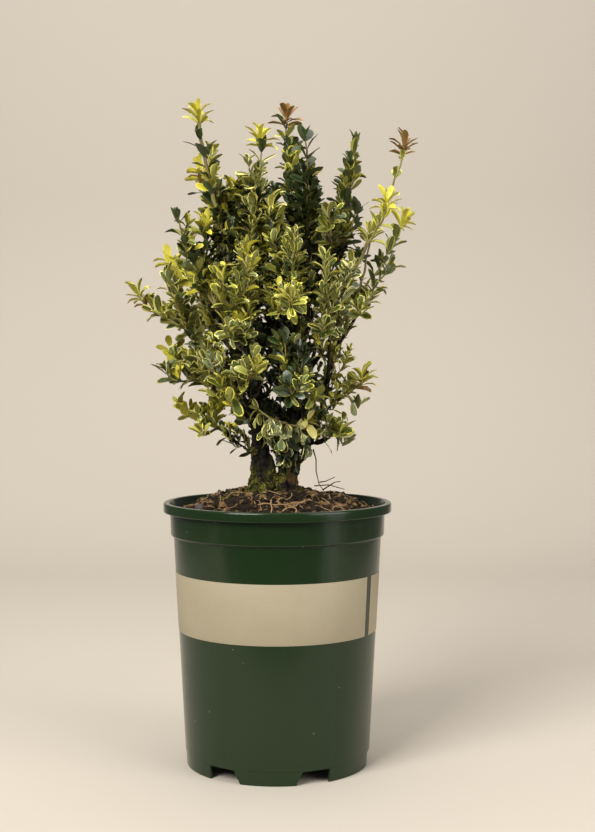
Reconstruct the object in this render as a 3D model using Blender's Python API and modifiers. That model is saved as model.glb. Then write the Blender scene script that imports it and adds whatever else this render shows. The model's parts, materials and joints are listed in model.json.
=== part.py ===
"""A young variegated boxwood shrub in a plastic nursery pot.

Metres, +Z up. The origin is the centre of the pot's flat underside and -Y is the front. Two short
stems and a slim one fork from a flared foot, boughs rise from them, and each bough carries one
foliage mass: shoots with side twigs and pairs of leaves that keep to a space of their own.
"""

import math
import random

import bmesh
import bpy
import numpy as np
from mathutils import Matrix, Vector, noise

SEED = 41
GAP = 0.0003

# Pot, as radii and heights of its outer side.
POT_HEIGHT = 0.1893
LIP_RADIUS = 0.0825
LIP_HEIGHT = 0.0068
LIP_ROUND = 0.0012
BAND_RADIUS = 0.0777
BAND_FOOT_RADIUS = 0.0772
BAND_FOOT = 0.1660
SHOULDER_RADIUS = 0.0751
SHOULDER = 0.1648
BASE_RADIUS = 0.0663
WALL = 0.0015
FLOOR_UNDERSIDE = 0.0085
SKIRT_WALL = 0.0023
FOOT_LINE = 0.0104
FOOT_INSET = 0.00035
PAD_RADIUS = 0.022
POT_STEPS = 36

# Drain notches through the skirt. Every other foot between them narrows downwards.
NOTCH_COUNT = 6
NOTCH_HEIGHT = 0.010
NOTCH_TOP_ANGLE = math.radians(17.8)
NOTCH_SLANT_ANGLE = math.radians(4.2)
FIRST_FOOT_ANGLE = math.radians(-6)

# Soil: level round the trunk, falling towards the wall.
SOIL_TOP = 0.1960
SOIL_LEVEL_RADIUS = 0.027
SOIL_EDGE_DROP = 0.0175
SOIL_EVEN_FALL = 0.35
SOIL_ROUGHNESS = 0.0016
SOIL_STEPS = 22
SOIL_RINGS = 5
SOIL_GRAIN = 90

# Trunk foot: two stubs and the roots that flare from them, cut flat at the soil.
GROUND = SOIL_TOP + GAP
FORK_HEIGHT = 0.2095
STUB_DEPTH = 0.004
STUB_FLARE = (1.75, 1.28, 1.0)
ROOT_CROWN = (-0.0025, 0, SOIL_TOP)
ROOT_REACH = 0.020
ROOT_REACH_STEP = 0.002
ROOT_RISE = 0.007
ROOT_DIP = 0.002
ROOT_START = 0.35
ROOT_NARROWER = 0.7
ROOT_RADII = (0.0042, 0.00315, 0.00147)
ROOT_ANGLES = (200, 248, 292, 338, 20, 75, 135)
GROUND_BLOCK = 0.1

# Stems, each as its path from below the fork to its tip and its radius at both ends, in
# millimetres.
STEM_TAPER = 0.8
STEMS = {
    "left": (((-12, -3, 208), (-14, -4, 223), (-14, -7, 240), (-13, -8, 263), (-19, -8, 312)), 6.6, 2.6),
    "right": (((7, 3, 208), (10, 4, 222), (12, 6, 240), (13, 8, 263), (19, 9, 318)), 6.9, 2.6),
    "slim": (((9, 0, 207), (22, -1, 226), (30, 0, 250), (38, 2, 281), (43, 4, 306)), 2.4, 1.5),
}

# Foliage masses: the stem that carries each, the height at which its bough leaves that stem, and
# the tips that its leading shoots reach, each with the room round the shoot. A mass with no
# height grows from the stem's own tip. All are in millimetres.
MASSES = {
    "left_leader": ("left", None, ((-11, -42, 456, 12), (-29, 26, 431, 14), (-7, -10, 402, 15),
                                   (-36, 22, 356, 17), (-26, -34, 350, 17))),
    "tall_left": ("left", 294, ((-56, -28, 472, 11), (-59, 34, 443, 12), (-36, -2, 420, 14))),
    "upper_left": ("left", 280, ((-71, -30, 401, 13), (-84, 28, 376, 12), (-52, -8, 398, 15))),
    "far_left": ("left", 265, ((-105, 0, 349, 9), (-80, -26, 362, 12), (-76, 24, 338, 13))),
    "left": ("left", 246, ((-82, 17, 310, 11), (-85, -15, 292, 10), (-60, 2, 310, 15))),
    "low_left": ("left", 222, ((-75, 10, 268, 10), (-60, -12, 248, 10), (-46, 10, 270, 15))),
    "front_left": ("left", 270, ((-42, -58, 358, 18), (-34, -76, 317, 18), (-20, -60, 376, 18))),
    "front_low_left": ("left", 250, ((-38, -58, 272, 18), (-13, -78, 298, 18), (-54, -42, 300, 16))),
    "back_left": ("left", 256, ((-46, 60, 386, 18), (-60, 70, 338, 18), (-66, 44, 360, 15))),
    "back_low_left": ("left", 239, ((-46, 62, 286, 18), (-60, 36, 300, 16))),
    "foot_back": ("left", 232, ((8, 42, 252, 14), (-26, 38, 262, 14), (32, 34, 256, 14))),
    "right_leader": ("right", None, ((6, 36, 483, 12), (20, -38, 458, 12), (20, 8, 416, 17),
                                     (10, 38, 362, 18), (6, -32, 352, 18))),
    "right_top": ("right", 300, ((59, 38, 463, 12), (36, -44, 404, 15), (60, -8, 408, 14))),
    "red_right": ("right", 286, ((91, -22, 454, 8), (78, -38, 412, 10))),
    "right_reach": ("right", 274, ((96, 40, 405, 9), (84, -8, 370, 10), (70, 24, 395, 13))),
    "back_right": ("right", 262, ((42, 60, 397, 18), (44, 72, 344, 18), (60, 44, 372, 15))),
    "back_centre": ("right", 296, ((-7, 54, 427, 17), (-4, 88, 354, 18), (22, 46, 412, 16))),
    "front_centre": ("right", 280, ((-5, -30, 409, 16), (10, -84, 341, 18), (12, -58, 384, 16))),
    "front_low_right": ("right", 254, ((8, -76, 281, 18), (30, -54, 274, 17), (4, -48, 314, 17))),
    "back_low": ("right", 247, ((2, 78, 286, 18), (35, 58, 280, 17), (-2, 54, 322, 17))),
    "foot_rosette": ("right", 233, ((2, -44, 247, 14), (24, -40, 258, 14), (-16, -44, 266, 14))),
    "slim_leader": ("slim", None, ((45, 4, 372, 16), (40, 36, 345, 16))),
    "right": ("slim", 299, ((72, 12, 353, 10), (60, -18, 336, 9))),
    "front_right": ("slim", 274, ((32, -56, 370, 18), (29, -64, 322, 17), (52, -38, 362, 15))),
    "low_right": ("slim", 252, ((64, -12, 290, 11), (65, 14, 267, 11), (46, -8, 280, 14))),
    "lowest_right": ("slim", 230, ((54, 0, 240, 9), (46, -22, 250, 11))),
}

# Boughs run out on a curve that climbs for this share of its rise by half way, then fork into
# shoots part way to the middle of their tips.
FORK_SHARE = 0.5
BOUGH_RISE = 0.33
BOUGH_RADIUS = 0.0021
BOUGH_TIP_RADIUS = 0.0012
BOUGH_STEM_SHARE = 0.75
BOUGH_POINTS = 4

# Shoots leave a short stem at the bough's tip, lead on the way it heads and draw round to climb.
MASS_STEM = 0.0045
SHOOT_RADIUS = 0.0010
SHOOT_TIP_RADIUS = 0.0006
SHOOT_POINTS = 4
SHOOT_LEAD = 0.35
SHOOT_DRAW = 0.25
SHOOT_CLIMB = 0.2

# Side twigs: a pair at the foot of each shoot that has the room for them.
ROOM_FOR_TWIGS = 0.0175
TWIG_RADIUS = 0.0006
TWIG_TIP_SHARE = 0.8
TWIG_ANGLE = math.radians(55)
TWIG_SHARE = 0.55
TWIG_PAIR_AT = 0.9
TWIG_LEAF_SHARE = 0.8

# Leaves grow in pairs, each a quarter turn on from the last. Their length follows the room round
# their shoot, within limits, and their width and thickness are shares of it.
NODE_STEP = 0.0195
LAST_NODE_CLEAR = 0.4
LAST_PAIR_BACK = 0.15
LONGEST_LEAF = 0.027
SHORTEST_LEAF = 0.015
LEAF_ROOM_SHARE = 1.5
LEAF_REACH_SHARE = 0.6
TIP_LEAF_REACH = 0.9
LEAF_WIDTH = 0.55
LEAF_THICKNESS = 0.045
LEAF_WIDEST = 0.58
LEAF_ANGLE = math.radians(48)
ANGLE_SPREAD = 0.12
TURN_SPREAD = 0.25
LEAF_ROLL = math.radians(45)
LEAF_ROOT_CLEAR = 0.003
LEAF_NECK = Vector((0, 0, 0.3))
SMALLER_LEAVES = (1.0, 0.75)

# A mass's own space, as shares of the room round its shoots, and what it keeps clear.
FURTHEST_SHARE = 1.25
SPACE_MARGIN = 0.0006
LIMB_MARGIN = 0.0006

WELD = 1e-7
SMOOTH_UNDER = math.radians(40)


def clear_scene():
    for old in list(bpy.data.objects):
        bpy.data.objects.remove(old, do_unlink=True)


def new_collection(name, parent):
    made = bpy.data.collections.new(name)
    parent.children.link(made)
    return made


def material(name, colour, roughness, metallic=0.0):
    made = bpy.data.materials.new(name)
    made.use_nodes = True
    shader = made.node_tree.nodes["Principled BSDF"]
    shader.inputs["Base Color"].default_value = (*colour, 1.0)
    shader.inputs["Roughness"].default_value = roughness
    shader.inputs["Metallic"].default_value = metallic
    return made


def mesh_object(name, mesh, collection, surface=None):
    made = bpy.data.objects.new(name, mesh)
    collection.objects.link(made)
    if surface:
        mesh.materials.clear()
        mesh.materials.append(surface)
    return made


def baked(obj):
    """A plain mesh of the object with its modifiers applied and its loose caps welded."""
    bpy.context.view_layer.update()
    graph = bpy.context.evaluated_depsgraph_get()
    mesh = bpy.data.meshes.new_from_object(obj.evaluated_get(graph))
    shape = bmesh.new()
    shape.from_mesh(mesh)
    bmesh.ops.remove_doubles(shape, verts=shape.verts, dist=WELD)
    bmesh.ops.recalc_face_normals(shape, faces=shape.faces)
    shape.to_mesh(mesh)
    shape.free()
    return mesh


def replaced(obj, surface, collection):
    """The object as a plain mesh under its own name, the first one removed."""
    mesh = baked(obj)
    name = obj.name
    bpy.data.objects.remove(obj, do_unlink=True)
    mesh.shade_smooth()
    mesh.set_sharp_from_angle(angle=SMOOTH_UNDER)
    return mesh_object(name, mesh, collection, surface)


def boolean(obj, operation, other, solver="EXACT"):
    cut = obj.modifiers.new(operation.title(), "BOOLEAN")
    cut.operation = operation
    cut.solver = solver
    if isinstance(other, bpy.types.Collection):
        cut.operand_type = "COLLECTION"
        cut.collection = other
    else:
        cut.object = other


def turned(name, profile, steps, collection):
    """A profile of (radius, height) points, down the outer side, turned round the Z axis."""
    mesh = bpy.data.meshes.new(name)
    points = [(radius, 0, height) for radius, height in profile]
    mesh.from_pydata(points, [(i, i + 1) for i in range(len(points) - 1)], [])
    made = mesh_object(name, mesh, collection)
    screw = made.modifiers.new("Turn", "SCREW")
    screw.axis = "Z"
    screw.steps = screw.render_steps = steps
    screw.use_merge_vertices = True
    screw.merge_threshold = 0.0001
    return made


def triangle_outline(collection):
    """A closed three-sided curve of radius 1, the section of a twig."""
    curve = bpy.data.curves.new("twig_section", "CURVE")
    spline = curve.splines.new("POLY")
    spline.points.add(2)
    for number, slot in enumerate(spline.points):
        turn = 2 * math.pi * number / 3
        slot.co = (math.cos(turn), math.sin(turn), 0, 1)
    spline.use_cyclic_u = True
    made = bpy.data.objects.new("twig_section", curve)
    collection.objects.link(made)
    return made


def tube(name, points, radii, section, collection):
    """A capped curve with a radius at each point: a number of sides, or a curve as section."""
    curve = bpy.data.curves.new(name, "CURVE")
    curve.dimensions = "3D"
    curve.use_fill_caps = True
    if isinstance(section, int):
        curve.bevel_depth = 1.0
        curve.bevel_resolution = section // 2 - 2
    else:
        curve.bevel_mode = "OBJECT"
        curve.bevel_object = section
    spline = curve.splines.new("POLY")
    spline.points.add(len(points) - 1)
    for slot, point, radius in zip(spline.points, points, radii):
        slot.co = (*point, 1.0)
        slot.radius = radius
    made = bpy.data.objects.new(name, curve)
    collection.objects.link(made)
    return made


def bezier(points, share):
    """The point at a share of the way along the Bezier curve with these control points."""
    points = [Vector(point) for point in points]
    while len(points) > 1:
        points = [a.lerp(b, share) for a, b in zip(points, points[1:])]
    return points[0]


def curve_points(controls, count, end=1.0):
    return [bezier(controls, end * i / (count - 1)) for i in range(count)]


def tapered(foot, tip, points):
    """A radius for each of the points, falling evenly from the foot's to the tip's."""
    last = len(points) - 1
    return [foot + (tip - foot) * i / last for i in range(last + 1)]


def metres(point):
    return Vector(point) * 0.001


def outer_radius(height):
    return BASE_RADIUS + (SHOULDER_RADIUS - BASE_RADIUS) * height / SHOULDER


def inner_profile(inset):
    """The pot's inner side from its floor up to the band, moved inwards by the inset."""
    floor = FLOOR_UNDERSIDE + WALL
    return [
        (0, floor + inset),
        (outer_radius(floor) - WALL - inset, floor + inset),
        (SHOULDER_RADIUS - WALL - inset, SHOULDER + inset),
        (BAND_FOOT_RADIUS - WALL - inset, BAND_FOOT + inset),
    ]


def make_pot(collection, cutters):
    lip_foot = POT_HEIGHT - LIP_HEIGHT
    round_steps = 2
    lip_round = [
        (
            LIP_RADIUS - LIP_ROUND * (1 - math.sin(turn)),
            POT_HEIGHT - LIP_ROUND * (1 - math.cos(turn)),
        )
        for turn in (math.pi / 2 * i / round_steps for i in range(round_steps + 1))
    ]
    outer = [
        (BAND_RADIUS - WALL, lip_foot),
        (BAND_RADIUS - WALL + LIP_ROUND, POT_HEIGHT - LIP_ROUND / 2),
        (BAND_RADIUS - WALL + 2 * LIP_ROUND, POT_HEIGHT),
        *lip_round,
        (LIP_RADIUS, lip_foot + LIP_ROUND / 2),
        (LIP_RADIUS - LIP_ROUND / 2, lip_foot),
        (BAND_RADIUS, lip_foot),
        (BAND_FOOT_RADIUS, BAND_FOOT),
        (SHOULDER_RADIUS, SHOULDER),
        (outer_radius(FOOT_LINE), FOOT_LINE),
        (outer_radius(FOOT_LINE) - FOOT_INSET, FOOT_LINE - FOOT_INSET),
        (BASE_RADIUS - FOOT_INSET, 0),
    ]
    underside = [
        (BASE_RADIUS - SKIRT_WALL, 0),
        (outer_radius(FLOOR_UNDERSIDE) - SKIRT_WALL, FLOOR_UNDERSIDE),
        (PAD_RADIUS + WALL / 2, FLOOR_UNDERSIDE),
        (PAD_RADIUS, 0),
        (0, 0),
    ]
    pot = turned("pot", inner_profile(0) + outer + underside, POT_STEPS, collection)
    pot = replaced(pot, material("pot_green", (0.016, 0.075, 0.042), 0.42), collection)
    cut_mesh = bpy.data.meshes.new("drain_notches")
    shape = bmesh.new()
    foot_turn = 2 * math.pi / NOTCH_COUNT
    for i in range(NOTCH_COUNT):
        middle = FIRST_FOOT_ANGLE + foot_turn * (i + 0.5)
        slant_side = -1 if i % 2 == 0 else 1
        add_notch(shape, middle, slant_side)
    shape.to_mesh(cut_mesh)
    shape.free()
    cutter = mesh_object("drain_notches", cut_mesh, cutters)
    boolean(pot, "DIFFERENCE", cutter)
    return pot


def add_notch(shape, middle, slant_side):
    """A block across the skirt, one side of which leans out towards the foot that narrows."""
    below = 0.002
    block = bmesh.ops.create_cube(shape, size=1.0)["verts"]
    inner, outer = BASE_RADIUS - 2 * SKIRT_WALL, BASE_RADIUS + SKIRT_WALL
    for vert in block:
        radius = outer if vert.co.y < 0 else inner
        side = 1 if vert.co.x > 0 else -1
        height = NOTCH_HEIGHT if vert.co.z > 0 else -below
        turn = side * NOTCH_TOP_ANGLE / 2
        if side == slant_side:
            turn += side * NOTCH_SLANT_ANGLE * (1 - height / NOTCH_HEIGHT)
        across = Matrix.Rotation(middle + turn, 3, "Z") @ Vector((0, -radius, 0))
        # The block's inner face stays under the floor.
        if radius == inner:
            height = min(height, FLOOR_UNDERSIDE - GAP)
        vert.co = (across.x, across.y, height)


def soil_height(radius):
    """Height of the smooth soil surface: level in the middle, then an even fall to the wall."""
    edge = BAND_FOOT_RADIUS - WALL - GAP
    share = max(0.0, (radius - SOIL_LEVEL_RADIUS) / (edge - SOIL_LEVEL_RADIUS))
    fall = SOIL_EVEN_FALL * share + (1 - SOIL_EVEN_FALL) * share**2
    return SOIL_TOP - SOIL_EDGE_DROP * fall


def make_soil(collection):
    edge = BAND_FOOT_RADIUS - WALL - GAP
    rings = [
        SOIL_LEVEL_RADIUS + (edge - SOIL_LEVEL_RADIUS) * i / SOIL_RINGS
        for i in range(SOIL_RINGS + 1)
    ]
    surface = [(0, SOIL_TOP), *((radius, soil_height(radius)) for radius in rings)]
    wall_side = inner_profile(GAP)[::-1]
    soil = turned("soil", surface + wall_side, SOIL_STEPS, collection)
    soil = replaced(soil, material("soil_bark", (0.045, 0.028, 0.016), 0.95), collection)
    for vert in soil.data.vertices:
        radius = math.hypot(vert.co.x, vert.co.y)
        on_top = vert.co.z > SHOULDER + WALL + GAP and radius < edge - GAP
        if on_top and radius > SOIL_LEVEL_RADIUS + GAP:
            vert.co.z += SOIL_ROUGHNESS * noise.noise(vert.co * SOIL_GRAIN)
    return soil


def stem_path(name):
    """The points of a stem's centre line and the radius at each."""
    controls, foot, tip = STEMS[name]
    points = [metres(point) for point in controls]
    shares = [i / (len(points) - 1) for i in range(len(points))]
    radii = [(foot + (tip - foot) * share**STEM_TAPER) * 0.001 for share in shares]
    return points, radii


def point_at_height(points, height):
    for low, high in zip(points, points[1:]):
        if low.z <= height <= high.z:
            return low.lerp(high, (height - low.z) / (high.z - low.z))
    raise ValueError(f"no point at height {height}")


def radius_at_height(points, radii, height):
    return float(np.interp(height, [point.z for point in points], radii))


def make_trunk(collection, cutters):
    """Two stubs and their root flares in one, flat at the soil and across each stub's top."""
    parts = new_collection("trunk_parts", cutters)
    for name in ("left", "right"):
        points, radii = stem_path(name)
        up = (points[1] - points[0]).normalized()
        top = points[0] + up * (FORK_HEIGHT - points[0].z) / up.z
        foot = top - up * (top.z - SOIL_TOP + STUB_DEPTH) / up.z
        flare = [radii[0] * share for share in STUB_FLARE]
        tube(f"stub_{name}", (foot, foot.lerp(top, 0.5), top), flare, 12, parts)
    middle = Vector(ROOT_CROWN)
    for number, degrees in enumerate(ROOT_ANGLES):
        turn = math.radians(degrees)
        out = Vector((math.cos(turn), ROOT_NARROWER * math.sin(turn), 0))
        start = middle + out * ROOT_REACH * ROOT_START + Vector((0, 0, ROOT_RISE))
        end = middle + out * (ROOT_REACH + ROOT_REACH_STEP * (number % 3))
        end.z -= ROOT_DIP
        tube(f"root_{number}", (start, start.lerp(end, 0.6), end), ROOT_RADII, 6, parts)
    for curve in list(parts.objects):
        replaced(curve, None, parts)
    pieces = list(parts.objects)
    trunk = mesh_object("trunk", pieces[0].data.copy(), collection)
    bpy.data.objects.remove(pieces[0], do_unlink=True)
    boolean(trunk, "UNION", parts)
    middle_height = GROUND - GROUND_BLOCK / 2
    bpy.ops.mesh.primitive_cube_add(size=GROUND_BLOCK, location=(0, 0, middle_height))
    ground = bpy.context.object
    ground.name = "ground_block"
    for holder in list(ground.users_collection):
        holder.objects.unlink(ground)
    cutters.objects.link(ground)
    boolean(trunk, "DIFFERENCE", ground)
    trunk = replaced(trunk, material("old_bark", (0.035, 0.026, 0.016), 0.9), collection)
    for piece in list(parts.objects):
        bpy.data.objects.remove(piece, do_unlink=True)
    return trunk


def limb(name, points, radii, sides, surface, collection, cut_by=()):
    made = replaced(tube(name, points, radii, sides, collection), surface, collection)
    for cutter in cut_by:
        boolean(made, "DIFFERENCE", cutter)
    if cut_by:
        made = replaced(made, surface, collection)
    return made


class Shoot:
    """One leading shoot: its centre line, the room round it and the mass that it belongs to."""

    def __init__(self, mass, foot, heading, tip, room):
        self.mass = mass
        self.room = room
        self.tip = tip
        start = foot + heading * MASS_STEM / 2
        reach = tip - start
        longest = min(LONGEST_LEAF, reach.length * LEAF_REACH_SHARE)
        self.leaf = min(max(room * LEAF_ROOM_SHARE, SHORTEST_LEAF), longest)
        climb = (reach.normalized() + Vector((0, 0, SHOOT_CLIMB))).normalized()
        end = tip - climb * self.leaf * TIP_LEAF_REACH
        lead = start + heading * reach.length * SHOOT_LEAD
        draw = end - climb * reach.length * SHOOT_DRAW
        self.points = curve_points((start, lead, draw, end), SHOOT_POINTS)
        self.stem = (foot, foot + heading * MASS_STEM)


def plan_masses():
    """Where each bough runs, where its mass starts, and the shoots that the mass reaches out."""
    boughs, shoots = {}, []
    for name, (stem, height, tips) in MASSES.items():
        points, radii = stem_path(stem)
        targets = [metres(tip[:3]) for tip in tips]
        if height is None:
            heading = (points[-1] - points[-2]).normalized()
            start = points[-1] + heading * GAP
        else:
            base = point_at_height(points, height * 0.001)
            middle = sum(targets, Vector()) / len(targets)
            control = base.lerp(middle, 0.5)
            control.z = base.z + BOUGH_RISE * (middle.z - base.z)
            controls = (base, control, middle)
            path = curve_points(controls, BOUGH_POINTS, FORK_SHARE)
            heading = (path[-1] - path[-2]).normalized()
            thickest = BOUGH_STEM_SHARE * radius_at_height(points, radii, base.z)
            boughs[name] = (stem, path, tapered(min(BOUGH_RADIUS, thickest), BOUGH_TIP_RADIUS, path))
            start = path[-1] + heading * GAP
        for tip, target in zip(tips, targets):
            shoots.append(Shoot(name, start, heading, target, tip[3] * 0.001))
    return boughs, shoots


def distances(points, starts, ends):
    """Distance from each point to each segment, as a grid of points by segments."""
    along = ends - starts
    offset = points[:, None, :] - starts[None]
    share = (offset * along).sum(2) / np.maximum((along * along).sum(1), 1e-12)
    nearest = starts + np.clip(share, 0, 1)[..., None] * along
    return np.linalg.norm(points[:, None, :] - nearest, axis=2)


class Spaces:
    """Which space a point lies in: that of the shoot nearest to it for the room it has."""

    def __init__(self, shoots, limbs):
        pairs = [(a, b, s) for s in shoots for a, b in zip(s.points, s.points[1:])]
        pairs += [(s.points[-1], s.tip, s) for s in shoots]
        self.starts = np.array([pair[0] for pair in pairs])
        self.ends = np.array([pair[1] for pair in pairs])
        self.rooms = np.array([pair[2].room for pair in pairs])
        self.masses = np.array([pair[2].mass for pair in pairs])
        segments = [
            (a, b, max(r, s))
            for points, radii in limbs
            for a, b, r, s in zip(points, points[1:], radii, radii[1:])
        ]
        self.limb_starts = np.array([segment[0] for segment in segments])
        self.limb_ends = np.array([segment[1] for segment in segments])
        self.limb_radii = np.array([segment[2] for segment in segments])

    def hold(self, mass, points):
        """Whether all the points lie in the mass's own space and clear of every limb."""
        points = np.array(points)
        filled = distances(points, self.starts, self.ends) / self.rooms
        own = filled[:, self.masses == mass].min(1)
        others = filled[:, self.masses != mass]
        nearest = others.argmin(1)
        room = self.rooms[self.masses != mass][nearest]
        apart = (others.min(1) - own) * room > SPACE_MARGIN
        if not (apart.all() and (own < FURTHEST_SHARE).all()):
            return False
        gaps = distances(points, self.limb_starts, self.limb_ends) - self.limb_radii
        return bool((gaps > LIMB_MARGIN).all())


def leaf_mesh():
    """A flat diamond of eight faces, 1 long, from its root at the origin along +Z, facing +Y."""
    mesh = bpy.data.meshes.new("leaf")
    shape = bmesh.new()
    bmesh.ops.create_uvsphere(shape, u_segments=4, v_segments=2, radius=1.0)
    for vert in shape.verts:
        x, y, z = vert.co
        height = LEAF_WIDEST if abs(z) < 0.5 else (z + 1) / 2
        vert.co = (x * LEAF_WIDTH / 2, y * LEAF_THICKNESS / 2, height)
    shape.to_mesh(mesh)
    shape.free()
    return mesh


def frame_at(point, along, facing):
    """A matrix that turns +Z to the direction along and +Y towards the way it faces."""
    across = facing.cross(along)
    if across.length < WELD:
        across = along.orthogonal()
    across.normalize()
    facing = along.cross(across)
    turn = Matrix((across, facing, along)).transposed()
    return Matrix.Translation(point) @ turn.to_4x4()


class Mass:
    """One foliage mass as it grows: its solids go in a collection and are joined at the end."""

    def __init__(self, name, spaces, collection, leaf, section):
        self.name = name
        self.section = section
        self.spaces = spaces
        self.collection = collection
        self.leaf = leaf
        self.dice = random.Random(f"{SEED} {name}")

    def add(self, mesh, placed):
        made = mesh_object(f"{self.name}_bit", mesh, self.collection)
        made.matrix_world = placed

    def twig(self, points, radii):
        """A three-sided tapering rod through the points."""
        curve = tube("twig", points, radii, self.section, self.collection)
        mesh = baked(curve)
        bpy.data.objects.remove(curve, do_unlink=True)
        self.add(mesh, Matrix.Identity(4))

    def try_leaf(self, root, along, facing, length):
        """Adds a leaf with its root sunk in the twig, smaller if need be, where there is room."""
        roll = Matrix.Rotation(self.dice.uniform(-LEAF_ROLL, LEAF_ROLL), 3, along)
        for share in SMALLER_LEAVES:
            size = Matrix.Scale(length * share, 4)
            placed = frame_at(root, along, roll @ facing) @ size
            corners = [placed @ vert.co for vert in self.leaf.vertices]
            blade = [corner for corner in corners if (corner - root).length > LEAF_ROOT_CLEAR]
            if self.spaces.hold(self.name, [*blade, placed @ LEAF_NECK]):
                self.add(self.leaf, placed)
                return

    def pair_ways(self, along, side, angle):
        """The two opposite directions that a pair takes, either side of the shoot."""
        for way in (side, -side):
            lean = angle + self.dice.uniform(-ANGLE_SPREAD, ANGLE_SPREAD)
            yield (along * math.cos(lean) + way * math.sin(lean)).normalized()

    def pair(self, root, along, side, length):
        for way in self.pair_ways(along, side, LEAF_ANGLE):
            self.try_leaf(root, way, along, length)

    def side_twig(self, root, way, shoot):
        """A short twig that ends in a pair of leaves."""
        end = root + way * shoot.room * TWIG_SHARE
        if not self.spaces.hold(self.name, [end, root.lerp(end, 0.6)]):
            return
        self.twig((root, end), (TWIG_RADIUS, TWIG_RADIUS * TWIG_TIP_SHARE))
        side = way.orthogonal().normalized()
        self.pair(root.lerp(end, TWIG_PAIR_AT), way, side, shoot.leaf * TWIG_LEAF_SHARE)

    def shoot(self, shoot):
        """A leading shoot with side twigs, pairs of leaves and one leaf straight on at its tip."""
        points = shoot.points
        self.twig(points, tapered(SHOOT_RADIUS, SHOOT_TIP_RADIUS, points))
        spans = [(b - a).length for a, b in zip(points, points[1:])]
        last_node = sum(spans) - NODE_STEP * LAST_NODE_CLEAR
        turn = self.dice.uniform(0, math.pi)
        done, node = 0.0, NODE_STEP
        for start, end, span in zip(points, points[1:], spans):
            along = (end - start).normalized()
            across = along.orthogonal().normalized()
            while node < min(done + span, last_node):
                root = start + along * (node - done)
                side = Matrix.Rotation(turn, 3, along) @ across
                if shoot.room > ROOM_FOR_TWIGS and node == NODE_STEP:
                    for way in self.pair_ways(along, side, TWIG_ANGLE):
                        self.side_twig(root, way, shoot)
                else:
                    self.pair(root, along, side, shoot.leaf)
                turn += math.pi / 2 + self.dice.uniform(-TURN_SPREAD, TURN_SPREAD)
                node += NODE_STEP
            done += span
        side = Matrix.Rotation(turn, 3, along) @ across
        self.pair(points[-1] - along * NODE_STEP * LAST_PAIR_BACK, along, side, shoot.leaf)
        onwards = (shoot.tip - points[-1]).normalized()
        self.try_leaf(points[-1] - along * SHOOT_TIP_RADIUS * 2, onwards, side, shoot.leaf)

    def joined(self, collection, surface):
        """One solid of all that has grown, the collection's own objects then removed."""
        bits = list(self.collection.objects)
        whole = mesh_object(f"foliage_{self.name}", bits[0].data.copy(), collection)
        whole.matrix_world = bits[0].matrix_world
        bpy.data.objects.remove(bits[0], do_unlink=True)
        boolean(whole, "UNION", self.collection, "MANIFOLD")
        placed = whole.matrix_world.copy()
        whole = replaced(whole, surface, collection)
        whole.matrix_world = placed
        for bit in bits[1:]:
            bpy.data.objects.remove(bit, do_unlink=True)
        return whole


def make_stems(trunk, bark, collection, cutters):
    """The stems, as limbs to keep clear of, and a cutter round each that boughs are cut by."""
    limbs, cutter_of = [], {}
    for name in STEMS:
        points, radii = stem_path(name)
        if name == "slim":
            cut_by = [cutter_of["right"], trunk]
        else:
            up = (points[1] - points[0]).normalized()
            points[0] = points[0] + up * ((FORK_HEIGHT - points[0].z) / up.z + GAP)
            cut_by = []
        limb(f"stem_{name}", points, radii, 8, bark, collection, cut_by)
        limbs.append((points, radii))
        fat = [radius + GAP for radius in radii]
        fat[0] += (fat[0] - fat[1]) / 4
        lower = [points[0] - (points[1] - points[0]) / 4, *points[1:]]
        cutter_of[name] = replaced(tube(f"round_{name}", lower, fat, 8, cutters), bark, cutters)
    return limbs, cutter_of


def make_masses(shoots, limbs, collection, cutters):
    spaces = Spaces(shoots, limbs)
    leaf = leaf_mesh()
    section = triangle_outline(cutters)
    green = material("variegated_leaves", (0.16, 0.20, 0.045), 0.45)
    for name in MASSES:
        mass = Mass(name, spaces, new_collection(f"{name}_bits", cutters), leaf, section)
        own = [shoot for shoot in shoots if shoot.mass == name]
        mass.twig(own[0].stem, (BOUGH_TIP_RADIUS, BOUGH_TIP_RADIUS))
        for shoot in own:
            mass.shoot(shoot)
        mass.joined(collection, green)
    bpy.data.objects.remove(section, do_unlink=True)


def main():
    clear_scene()
    root = bpy.context.scene.collection
    shrub = new_collection("potted_variegated_boxwood", root)
    cutters = new_collection("cutters", root)
    make_pot(shrub, cutters)
    make_soil(shrub)
    trunk = make_trunk(shrub, cutters)
    bark = trunk.data.materials[0]
    limbs, cutter_of = make_stems(trunk, bark, shrub, cutters)
    boughs, shoots = plan_masses()
    for name, (stem, path, radii) in boughs.items():
        limb(f"bough_{name}", path, radii, 6, bark, shrub, [cutter_of[stem]])
        limbs.append((path, radii))
    make_masses(shoots, limbs, shrub, cutters)
    for cutter in cutters.all_objects:
        cutter.hide_render = True
        cutter.display_type = "WIRE"


main()
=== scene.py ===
"""Looks of a young variegated boxwood in a nursery pot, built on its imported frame.

Metres, +Z up, the pot's front towards -Y. The sections follow the plant as it is put together:
pot, label, soil, wood, moss, twigs and leaves, and last the studio.
"""

import json
import math
import random

import bmesh
import bpy
import numpy as np
from mathutils import Matrix, Vector, noise

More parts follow.
